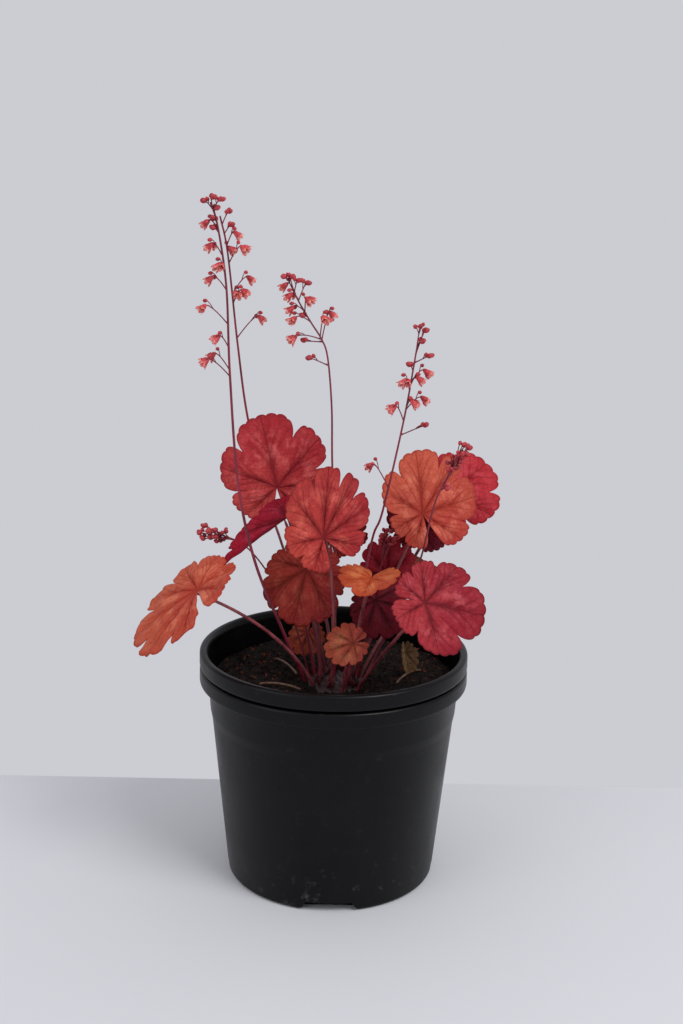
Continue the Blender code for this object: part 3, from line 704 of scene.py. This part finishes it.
def blade_spokes(leaf):
    """Round the blade: angle, place in its lobe, running lobe number, half width and tooth edge."""
    rows = []
    lobes = LOBES.get(leaf.name, EVEN_LOBES)
    for number, (low, high) in enumerate(zip(lobes, lobes[1:])):
        width = math.radians(high - low)
        teeth = max(2, round(width * leaf.size / TOOTH_WIDTH))
        steps = POINTS_PER_TOOTH * teeth
        closing = 1 if high == lobes[-1] else 0
        for k in range(steps + closing):
            angle = math.radians(low + (high - low) * k / steps)
            lobe = 2 * number + 2 * min(k / steps, 0.9995)
            crest = abs(math.sin(math.pi * teeth * k / steps)) ** 0.7
            rows.append((angle, 2 * k / steps - 1, lobe, 0.5 * width, crest))
    return np.array(rows).T


def blade_surface(leaf):
    """A blade's middle surface in rings of points, with lobe, reach, half width and tone of each."""
    fold, droop, dome, wave = leaf.bend
    angles, places, lobes, halves, crests = blade_spokes(leaf)
    rim = JUNCTION_OFFSET * np.cos(angles) + np.sqrt(1 - (JUNCTION_OFFSET * np.sin(angles)) ** 2)
    cut = DEEP_CUT if leaf.name in LOBES else SHALLOW_CUT
    edge = leaf.size * rim * (1 - cut * np.abs(places) ** 6) - TOOTH_DEPTH * (1 - crests)
    reaches = np.linspace(0, 1, RINGS + 1)[1:] ** 0.9
    reach, angle = np.meshgrid(reaches, angles, indexing="ij")
    place, lobe, half = (np.broadcast_to(values, reach.shape) for values in (places, lobes, halves))
    distance = reach * edge
    along = distance * np.cos(angle)
    across = distance * leaf.width * np.sin(angle)
    seed = leaf.junction[0] * 0.7 + leaf.junction[2] * 0.3
    height = wave * reach ** 2 * np.sin(3 * angle + seed)
    tilt = math.radians(fold)
    height = height + (np.sqrt(across ** 2 + 4.0) - 2.0) * math.sin(tilt)
    across = across * math.cos(tilt)
    height -= 0.5 * math.radians(droop) / leaf.size * along ** 2
    height -= 0.5 * math.radians(dome) / leaf.size * across ** 2
    # Raised between the veins, sunk along them
    swell = SWELL * leaf.size * np.minimum(1.0, 3.5 * reach) * (1.1 - reach ** 4)
    sink = np.exp(-(place / (FURROW + 0.12 * (1 - reach))) ** 2)
    for start, reach_out, strength in BRANCHES:
        share = np.clip((reach - start) / (1 - start), 0, 1)
        away = (np.abs(place) - reach_out * share ** BRANCH_BEND) / FURROW
        sink = np.maximum(sink, 0.42 * strength * np.exp(-away ** 2) * np.minimum(1, 8 * share))
    height += swell * (0.4 * np.cos(0.5 * math.pi * place) ** 0.4 + 0.6 - 1.1 * sink)
    ripple = np.array([noise.noise((a * 0.13 + seed, b * 0.13, 0.0))
                       for a, b in zip(along.ravel(), across.ravel())]).reshape(reach.shape)
    height += RIPPLE * leaf.size * ripple * reach
    look = LOOKS[leaf.name]
    lean = math.radians(look.lean)
    tone = 0.55 * (along * math.cos(lean) + across * math.sin(lean)) / leaf.size + look.tone
    side, tip, face = leaf_frame(leaf.turn)
    points = leaf.junction + along[..., None] * tip + across[..., None] * side + height[..., None] * face
    return points, lobe, reach, half, tone


def make_blade(leaf, materials, slot):
    """A closed thin blade with its own map of lobes and reach."""
    points, lobe, reach, half, tone = blade_surface(leaf)
    rings, count = reach.shape
    surface = np.vstack([leaf.junction, points.reshape(-1, 3)])
    front = [(0, 1 + i, 2 + i) for i in range(count - 1)]
    for k in range(rings - 1):
        for i in range(count - 1):
            a = 1 + k * count + i
            front += [(a, a + count, a + count + 1), (a, a + count + 1, a + 1)]
    rows = np.array(front).T
    first, second, third = surface[rows]
    flat = np.cross(second - first, third - first)
    normals = np.zeros_like(surface)
    for row in rows:
        np.add.at(normals, row, flat)
    normals /= np.linalg.norm(normals, axis=1)[:, None]
    skin = 0.5 * BLADE_THICKNESS * normals
    back = len(surface)
    border = [0] + [1 + k * count for k in range(rings)]
    border += [1 + (rings - 1) * count + i for i in range(1, count)]
    border += [1 + k * count + count - 1 for k in range(rings - 2, -1, -1)]
    faces = front + [(c + back, b + back, a + back) for a, b, c in front]
    for a, b in zip(border, border[1:] + border[:1]):
        faces += [(a, a + back, b + back), (a, b + back, b)]
    slots = [0] * len(front) + [1] * (len(faces) - len(front))
    shell = np.vstack([surface + skin, surface - skin])
    blade = make_object(leaf.name + "_blade", shell, faces, materials, slots)
    mesh = blade.data
    corners = np.empty(len(mesh.loops), np.int32)
    mesh.loops.foreach_get("vertex_index", corners)
    maps = np.vstack([[0.0, 0.0], np.column_stack([lobe.ravel(), reach.ravel()])])
    values = np.vstack([maps, maps])[corners]
    # At the junction each triangle takes the lobe of its own other corners
    starts = np.arange(0, len(corners), 3)
    for shift in range(3):
        here = starts + shift
        middle = (corners[here] == 0) | (corners[here] == back)
        values[here[middle], 0] = values[starts[middle] + (shift + 1) % 3, 0]
    mesh.uv_layers.new(name="blade").data.foreach_set("uv", values.astype(np.float32).ravel())
    for field, centre, rest in (("tone", LOOKS[leaf.name].tone, tone), ("half", half[0, 0], half)):
        given = np.concatenate([[centre], rest.ravel()] * 2).astype(np.float32)
        mesh.attributes.new(field, "FLOAT", "POINT").data.foreach_set("value", given)
    take_place(blade, slot, leaf.name)


def make_petiole(leaf, materials, slot):
    """The leaf's stalk, hairy all along, widest at its foot."""
    draw = random.Random(leaf.name + "petiole")
    _, tip, face = leaf_frame(leaf.turn)
    end = leaf.junction + tip * 2.2 - face * 0.5
    route = bow((*leaf.foot, STEM_ROOT), leaf.knee, end, PETIOLE_STEPS)
    shares = [k / PETIOLE_STEPS for k in range(PETIOLE_STEPS + 1)]
    radii = [PETIOLE_RADIUS * (1.15 - 0.3 * share + 0.5 * max(0.0, 0.2 - share)) for share in shares]
    radii[-1] *= 0.6
    shape = Shape()
    shape.add(*tube(route, radii, PETIOLE_SIDES))
    add_hairs(shape, route[3:-1], radii[3:], *PETIOLE_HAIRS, draw)
    shape.make(leaf.name + "_petiole", materials, slot, leaf.name)


# Flower stalks

def point_along(route, place, back):
    """The point of the stalk nearest to a place seen from the front, or a way back down from it."""
    lengths = [0.0]
    best, found = math.inf, 0.0
    for a, b in zip(route, route[1:]):
        length = float(np.linalg.norm(b - a))
        start, step = a[[0, 2]], (b - a)[[0, 2]]
        share = float(np.clip(np.dot(np.array(place) - start, step) / np.dot(step, step), 0, 1))
        away = np.linalg.norm(start + share * step - np.array(place))
        if away < best:
            best, found = away, lengths[-1] + share * length
        lengths.append(lengths[-1] + length)
    found = max(0.0, found - back)
    return np.array([np.interp(found, lengths, [p[k] for p in route]) for k in range(3)])


def hang_place(route, place, number, bloom):
    """Root, top and direction of a pedicel's bell or bud."""
    stem = point_along(route, place, 0.0)
    spread = math.hypot(place[0] - stem[0], place[1] - stem[2])
    swing = spread * 0.55 * math.sin(math.radians(number * GOLDEN_ANGLE)) + 0.8 * math.cos(number)
    centre = np.array([place[0], stem[1] + swing, place[1]])
    root = point_along(route, place, 1.5 + 0.6 * spread)
    outward = unit((centre - stem) * (1, 1, 0) + (0.01, 0, 0))
    along = unit(outward * 0.75 + (0, 0, -0.65 if bloom else 0.35))
    length = FLORET_LENGTH if bloom else BUD_LENGTH
    return root, centre - along * length * 0.5, along


def add_floret(shape, start, along, draw, size=1.0):
    """A nodding bell: ribbed cup that flares, blunt tips that turn out, and stamens."""
    length, radius = size * FLORET_LENGTH, size * FLORET_RADIUS
    shape.add(*spun(start, along, [(s * length, r * radius) for s, r in CUP_FORM], CUP_SIDES, CUP_RIPPLE))
    side = unit(np.cross(along, SPIN_START))
    other = np.cross(along, side)
    for angle in around(RIBS):
        out = spoke(angle, side, other)
        aside = np.cross(along, out)
        flare = draw.uniform(0.95, 1.30)
        stations = TIP_START + ((0.92, flare, 0.36), (1.0, 1.08 * flare, 0.10))
        points = []
        for share, width, half in stations:
            centre = start + along * length * share + out * radius * width
            for step, lift in ((-half, -1), (half, -1), (half, 1), (-half, 1)):
                points.append(centre + aside * step * radius + out * lift * TIP_HALF_THICKNESS)
        shape.add(points, stack_faces(len(stations), 4), 1)
        thread = start + along * length * 0.5 + out * radius * 0.3
        end = start + along * length * draw.uniform(0.98, 1.08) + out * radius * 0.45
        shape.add(*tube([thread, 0.5 * (thread + end), end], [0.07, 0.07, 0.16], 5), slot=1)


def add_bud(shape, start, along, size=1.0):
    """A closed ribbed bud."""
    profile = [(s * size * BUD_LENGTH, r * size * BUD_RADIUS) for s, r in BUD_FORM]
    shape.add(*spun(start, along, profile, BUD_SIDES, BUD_RIPPLE))


def add_sisters(stem, bells, buds, thread, along, number, bloom, draw):
    """The smaller bell or buds that share a pedicel's branch, each on a thread of its own."""
    across = unit(np.cross(along, (0, 0, 1))) * (1 if number % 2 else -1)
    gap = SISTER_GAP if bloom else 0.7 * SISTER_GAP
    for k, side in enumerate((across, -0.7 * across + (0, 0, 0.5))):
        lean = unit(along + 0.6 * side + (0, 0, 0.2 * k))
        beside = thread[-1] + side * gap - along * (0.4 + k)
        fork = thread[6 - k]
        over = 0.5 * (fork + beside) + (0, 0, 0.8)
        stem.add(*tube(bow(fork, over, beside + 0.4 * lean, 5), [0.8 * PEDICEL_RADIUS] * 6, 6))
        if bloom and k == 0 and number % 3:
            add_floret(bells, beside, lean, draw, 0.8)
        else:
            add_bud(buds, beside, lean, 0.9 - 0.15 * k)


def make_stalk(stalk, stem_looks, bell_looks, bud_looks):
    """Stem with pedicels and bracts, its open bells and its buds, as three pieces."""
    draw = random.Random(stalk.name)
    stops = [(*stalk.foot, STEM_ROOT), *stalk.route]
    coarse = curve_through(stops, STALK_STEP)
    route = curve_through(stops, FINE_STEP)
    last = len(route) - 1
    radii = [stalk.radius * (1.1 - 0.5 * k / last) for k in range(last + 1)]
    stem, bells, buds = Shape(), Shape(), Shape()
    stem.add(*tube(route, radii, STALK_SIDES))
    add_hairs(stem, route[4:], radii[4:], *STALK_HAIRS, draw)
    pedicel_radii = [PEDICEL_RADIUS * (1.1 - 0.03 * k) for k in range(PEDICEL_STEPS + 1)]
    places = [(place, True) for place in stalk.flowers] + [(place, False) for place in stalk.buds]
    for number, (place, bloom) in enumerate(places):
        root, start, along = hang_place(coarse, place, number, bloom)
        over = 0.3 * root + 0.7 * start + (0, 0, 2.6 if bloom else 0.4)
        thread = bow(root, over, start + along * 0.5, PEDICEL_STEPS)
        stem.add(*tube(thread, pedicel_radii, PEDICEL_SIDES))
        out = unit(thread[2] - thread[0])
        stem.add(*spun(root, unit(out + (0, 0, 0.3)), BRACT_FORM, 6))
        add_sisters(stem, bells, buds, thread, along, number, bloom, draw)
        if bloom:
            add_floret(bells, start, along, draw)
        else:
            add_bud(buds, start, along)
    for shape, part, looks in ((stem, "_stem", stem_looks), (bells, "_bells", bell_looks),
                               (buds, "_buds", bud_looks)):
        if shape.points:
            shape.make(stalk.name + part, looks, "stalk", stalk.name)


# Pots

def rounded(profile, size):
    """The profile with each corner off the axis rounded."""
    found = []
    count = len(profile)
    for i, here in enumerate(profile):
        here = np.array(here)
        if here[0] == 0.0:
            found.append(tuple(here))
            continue
        before, after = np.array(profile[i - 1]), np.array(profile[(i + 1) % count])
        reach = min(size, 0.45 * np.linalg.norm(before - here), 0.45 * np.linalg.norm(after - here))
        start = here + unit(before - here) * reach
        end = here + unit(after - here) * reach
        found += [tuple(point) for point in bow(start, here, end, 3)]
    return found


def pot_profile(lift):
    """The section of a pot whose foot is raised by lift."""
    inner_top = COLLAR_TOP_RADIUS - WALL + LIP_LEDGE
    outline = [
        (0.0, 0.0),
        (BASE_RADIUS - BASE_CORNER, 0.0),
        (BASE_RADIUS - 0.3 * BASE_CORNER, 0.3 * BASE_CORNER),
        (BASE_RADIUS + 0.1, BASE_CORNER),
        (NECK_RADIUS, NECK_HEIGHT),
        (COLLAR_RADIUS, COLLAR_BOTTOM),
        (COLLAR_TOP_RADIUS, POT_HEIGHT - RIM_THICKNESS - 0.2),
        (RIM_RADIUS - RIM_SKIRT - 0.4, POT_HEIGHT - RIM_THICKNESS),
        (RIM_RADIUS - RIM_SKIRT, RIM_BOTTOM),
        (RIM_RADIUS - 0.3, RIM_BOTTOM),
        (RIM_RADIUS, RIM_BOTTOM + 1.2),
        (RIM_RADIUS - 0.1, POT_HEIGHT - LIP_ROUND),
        (RIM_RADIUS - LIP_ROUND, POT_HEIGHT),
        (inner_top + LIP_ROUND, POT_HEIGHT),
        (inner_top, POT_HEIGHT - LIP_ROUND),
        (COLLAR_TOP_RADIUS - WALL, POT_HEIGHT - LIP_DEPTH),
        (COLLAR_RADIUS - WALL, COLLAR_BOTTOM),
        (NECK_RADIUS - WALL, NECK_HEIGHT),
        (BASE_RADIUS + 0.1 - WALL, BASE_CORNER),
        (BASE_RADIUS - WALL - 0.6, BASE_THICKNESS),
        (0.0, BASE_THICKNESS),
    ]
    return [(radius, height + lift) for radius, height in rounded(outline, CORNER_ROUND)]


def drain_notch(angle, lift):
    """The wedge that a drain slot leaves at the foot of a pot."""
    points = []
    for radius in (BASE_RADIUS - NOTCH_DEPTH, BASE_RADIUS + NOTCH_DEPTH):
        for height, half in ((lift - NOTCH_HEIGHT, NOTCH_BOTTOM_WIDTH - NOTCH_TOP_WIDTH / 2),
                             (lift + NOTCH_HEIGHT, NOTCH_TOP_WIDTH / 2)):
            for side in (-half, half):
                points.append((radius * math.cos(angle) - side * math.sin(angle),
                               radius * math.sin(angle) + side * math.cos(angle), height))
    faces = [(0, 2, 3, 1), (4, 5, 7, 6), (0, 1, 5, 4), (2, 6, 7, 3), (0, 4, 6, 2), (1, 3, 7, 5)]
    return points, faces


def make_pot(node, lift, first_notch, material):
    """One nursery pot with drain slots round its foot."""
    pot = make_object(node + "_shell", *lathe(pot_profile(lift), POT_SIDES), [material])
    notches = Shape()
    for k in range(NOTCH_COUNT):
        notches.add(*drain_notch(math.radians(first_notch + 360 * k / NOTCH_COUNT), lift))
    tool = make_object("notches", notches.points, notches.faces, [material], smooth=False)
    step = pot.modifiers.new("slots", "BOOLEAN")
    step.operation = "DIFFERENCE"
    step.object = tool
    step.solver = "MANIFOLD"
    evaluated = pot.evaluated_get(bpy.context.evaluated_depsgraph_get())
    mesh = bpy.data.meshes.new_from_object(evaluated)
    pot.modifiers.remove(step)
    pot.data = mesh
    bpy.data.objects.remove(tool)
    mesh.shade_smooth()
    mesh.set_sharp_from_angle(angle=math.radians(SHARP_ANGLE))
    take_place(pot, "pot", node)


# Potting mix, crown and litter

def pot_inner_radius(height):
    """The radius of the inner pot's wall, inside, at a height."""
    heights = [NEST_LIFT + h for h in (BASE_CORNER, NECK_HEIGHT, COLLAR_BOTTOM, POT_HEIGHT - LIP_DEPTH)]
    radii = [r - WALL for r in (BASE_RADIUS + 0.1, NECK_RADIUS, COLLAR_RADIUS, COLLAR_TOP_RADIUS)]
    return float(np.interp(height, heights, radii))


def soil_height(x, y):
    """The lumpy and crumbly top of the potting mix."""
    lumps = math.sin(0.21 * x + 0.6) * math.cos(0.17 * y - 0.4) + 0.6 * math.sin(0.43 * x - 0.31 * y)
    rough = 0.0
    for size, scale, layer in ((1.0, 0.22, 1.0), (0.8, 0.6, 4.0), (0.5, 1.3, 7.0)):
        rough += size * noise.noise((x * scale, y * scale, layer))
    return SOIL_TOP + SOIL_BUMP * 0.5 * lumps + rough


def make_soil(material):
    """The potting mix, filling the inner pot, with a rough crumbly top."""
    foot = NEST_LIFT + BASE_THICKNESS + GAP
    profile = [(0.0, foot), (BASE_RADIUS - WALL - 1.2, foot)]
    for height in (foot + 1.5, 60.0, NEST_LIFT + NECK_HEIGHT, NEST_LIFT + COLLAR_BOTTOM, SOIL_TOP - 3.0):
        profile.append((pot_inner_radius(height) - GAP - 0.1, height))
    smooth_points = 1 + SOIL_SIDES * (len(profile) - 1)
    outer = profile[-1][0]
    for radius in np.linspace(outer, SOIL_CENTRE, SOIL_RINGS):
        profile.append((radius, -SOIL_FALL * max(0.0, (radius - outer + SOIL_EDGE) / SOIL_EDGE)))
    profile.append((0.0, 0.0))
    points, faces = lathe(profile, SOIL_SIDES)
    top = [(x, y, soil_height(x, y) + fall) for x, y, fall in points[smooth_points:]]
    fill = make_object("potting_mix_fill", points[:smooth_points] + top, faces, [material])
    take_place(fill, "soil", "potting_mix")


def crumb(centre, size, stretch, draw):
    """A small irregular grain."""
    axis = unit([draw.gauss(0, 1) for _ in range(3)])
    side = unit(np.cross(axis, [draw.gauss(0, 1) for _ in range(3)]))
    other = np.cross(axis, side)
    points = []
    for share, width in CRUMB_FORM:
        for angle in around(CRUMB_SIDES):
            out = spoke(angle, side, other) * width * size * draw.uniform(0.7, 1.15)
            points.append(centre + axis * share * size * stretch + out)
    return points, stack_faces(len(CRUMB_FORM), CRUMB_SIDES)


def make_crumbs(materials):
    """Grains, bark slivers, reddish scraps and mossy specks on the potting mix."""
    draw = random.Random(11)
    shape = Shape()
    limit = pot_inner_radius(SOIL_TOP) - 2.0
    for number, kind, sizes, stretch in CRUMB_KINDS:
        for _ in range(number):
            radius, angle = limit * math.sqrt(draw.random()), draw.uniform(0, 2 * math.pi)
            x, y = radius * math.cos(angle), radius * math.sin(angle)
            if kind == MOSS and noise.noise((x * 0.05, y * 0.05, 9.0)) < 0.05:
                continue
            if kind != GRAIN and math.dist((x, y), CROWN_CENTRE) < CROWN_RADIUS * 0.8:
                continue
            size = draw.uniform(*sizes)
            centre = np.array([x, y, soil_height(x, y) + 0.2 * size])
            shape.add(*crumb(centre, size, stretch, draw), slot=kind)
    shape.make("potting_mix_grains", materials, "soil", smooth=False)


def make_crown(wood_look, scale_look):
    """The woody rootstock: a rough low dome with old leaf bases and brown scales on it."""
    draw = random.Random(5)
    outline = [(0.0, CROWN_BOTTOM), (CROWN_RADIUS - 3.0, CROWN_BOTTOM),
               (CROWN_RADIUS, CROWN_BOTTOM + 3.0), (CROWN_RADIUS, CROWN_SHOULDER)]
    brow = CROWN_SHOULDER + 0.65 * (CROWN_TOP - CROWN_SHOULDER)
    top = [(CROWN_RADIUS, CROWN_SHOULDER), (0.82 * CROWN_RADIUS, brow),
           (0.45 * CROWN_RADIUS, CROWN_TOP), (0.0, CROWN_TOP)]
    dome = []
    for (r0, z0), (r1, z1) in zip(top, top[1:]):
        dome += [(r0 + (r1 - r0) * t, z0 + (z1 - z0) * t) for t in np.linspace(0.12, 1, 8)]
    points, faces = lathe(outline + dome, CROWN_SIDES, CROWN_CENTRE)
    lumpy = []
    for x, y, z in points:
        lift = 1.1 * noise.noise((x * 0.3, y * 0.3, z * 0.3))
        lift += 0.6 * noise.noise((x, y, z))
        lumpy.append((x, y, z + (lift - 0.3 if z > CROWN_SHOULDER else 0.0)))
    take_place(make_object("crown_wood", lumpy, faces, [wood_look]), "wood", "crown")
    shape = Shape()
    for leaf in LEAVES:
        for _ in range(SCALES_PER_LEAF):
            x, y = (place + draw.uniform(-2.5, 2.5) for place in leaf.foot)
            base = np.array([x, y, SCALE_FOOT])
            reach = np.array([draw.uniform(-3, 3), draw.uniform(-3, 3), draw.uniform(4.0, 8.0)])
            form = [(s * np.linalg.norm(reach), r) for s, r in SCALE_FORM]
            shape.add(*spun(base, unit(reach), form, 8, 0.2))
    shape.make("crown_scales", [scale_look], "wood", "crown")


def make_litter(bark_look, leaf_look):
    """Dead stems and one dry leaf on the potting mix."""
    draw = random.Random(3)
    for name, start, end, arch, radius in LITTER:
        middle = 0.5 * np.add(start, end) + (0, 0, 2 * arch)
        route = bow(start, middle, end, LITTER_STEPS)
        radii = [radius * draw.uniform(0.82, 1.0) for _ in route]
        bark = make_object(name + "_bark", *tube(route, radii, LITTER_SIDES), [bark_look])
        take_place(bark, "litter", name)
    make_blade(DRY_LEAF, [leaf_look, leaf_look], "litter")


# Studio

def make_stage():
    """A pale floor that ends where the backdrop begins."""
    graph = Graph("floor")
    colour = graph.mix(graph.noise(3.0, 2.0), linear((218, 219, 221)), linear((212, 213, 216)))
    graph.set(Base_Color=colour, Roughness=0.7, Specular_IOR_Level=0.2)
    corners = ((-1, -FLOOR_SIDE), (1, -FLOOR_SIDE), (1, FLOOR_END), (-1, FLOOR_END))
    points = [(side * FLOOR_SIDE, y, -FLOOR_DROP) for side, y in corners]
    make_object("floor", points, [(0, 1, 2, 3)], [graph.material], smooth=False)


def make_light(name, place, size, power):
    """A soft round light that shines at the plant."""
    data = bpy.data.lights.new(name, "AREA")
    data.shape = "DISK"
    data.size = size
    data.energy = power
    light = place_data(name, data)
    aim = (Vector(LIGHT_TARGET) - Vector(place)).to_track_quat("-Z", "Y")
    light.matrix_world = Matrix.Translation(place) @ aim.to_matrix().to_4x4()


def make_camera():
    """The photograph's view, looking down a little."""
    data = bpy.data.cameras.new("camera")
    data.sensor_fit = "VERTICAL"
    data.sensor_height = FRAME_HEIGHT
    data.lens = LENS
    data.clip_start = 0.01
    camera = place_data("camera", data)
    pitch = Matrix.Rotation(math.radians(90.0 - CAMERA_PITCH), 4, "X")
    roll = Matrix.Rotation(math.radians(CAMERA_ROLL), 4, "Z")
    camera.matrix_world = Matrix.Translation(CAMERA_PLACE) @ pitch @ roll
    bpy.context.scene.camera = camera


def make_world():
    """An even pale backdrop."""
    world = bpy.data.worlds.new("studio")
    world.use_nodes = True
    background = world.node_tree.nodes["Background"]
    background.inputs["Color"].default_value = linear(BACKDROP)
    background.inputs["Strength"].default_value = 1.0
    bpy.context.scene.world = world
    bpy.context.scene.view_settings.view_transform = "Standard"


def main():
    pot_look = pot_material()
    make_pot("outer_pot", 0.0, OUTER_FIRST_NOTCH, pot_look)
    make_pot("inner_pot", NEST_LIFT, INNER_FIRST_NOTCH, pot_look)
    make_soil(soil_material("potting_mix_dark", (10, 4, 3), (26, 13, 9)))
    make_crumbs([
        soil_material("grain_dark", (14, 7, 5), (34, 20, 14), 900.0),
        soil_material("bark_sliver", (62, 34, 20), (104, 66, 42), 900.0),
        soil_material("red_scrap", (96, 34, 28), (132, 60, 44), 900.0),
        soil_material("moss_speck", (48, 54, 26), (82, 84, 44), 900.0),
    ])
    make_crown(stem_material("rootstock", (26, 8, 12), (54, 20, 22), 300.0),
               stem_material("crown_scale", (62, 16, 26), (104, 38, 42), 300.0))
    petiole_look = stem_material("petiole", (92, 22, 36), (140, 60, 64))
    hair_look = hair_material()
    for leaf in LEAVES:
        look = LOOKS[leaf.name]
        faces = [leaf_material(leaf.name, look), leaf_material(leaf.name, look, back=True)]
        make_blade(leaf, faces, leaf.colour)
        make_petiole(leaf, [petiole_look, hair_look], leaf.colour)
    stem_look = stem_material("flower_stem", (92, 8, 28), (132, 26, 48))
    bell_look = stem_material("floret", (158, 24, 40), (214, 78, 80), 500.0)
    tip_look = stem_material("floret_tip", (214, 96, 92), (238, 150, 138), 500.0)
    bud_look = stem_material("bud", (134, 14, 32), (190, 52, 58), 500.0)
    for stalk in STALKS:
        make_stalk(stalk, [stem_look, hair_look], [bell_look, tip_look], [bud_look])
    make_litter(stem_material("dead_stem", (84, 58, 44), (126, 96, 74), 300.0),
                leaf_material("dry", LOOKS["dry_leaf"]))
    make_stage()
    for light in LIGHTS:
        make_light(*light)
    make_world()
    make_camera()


main()
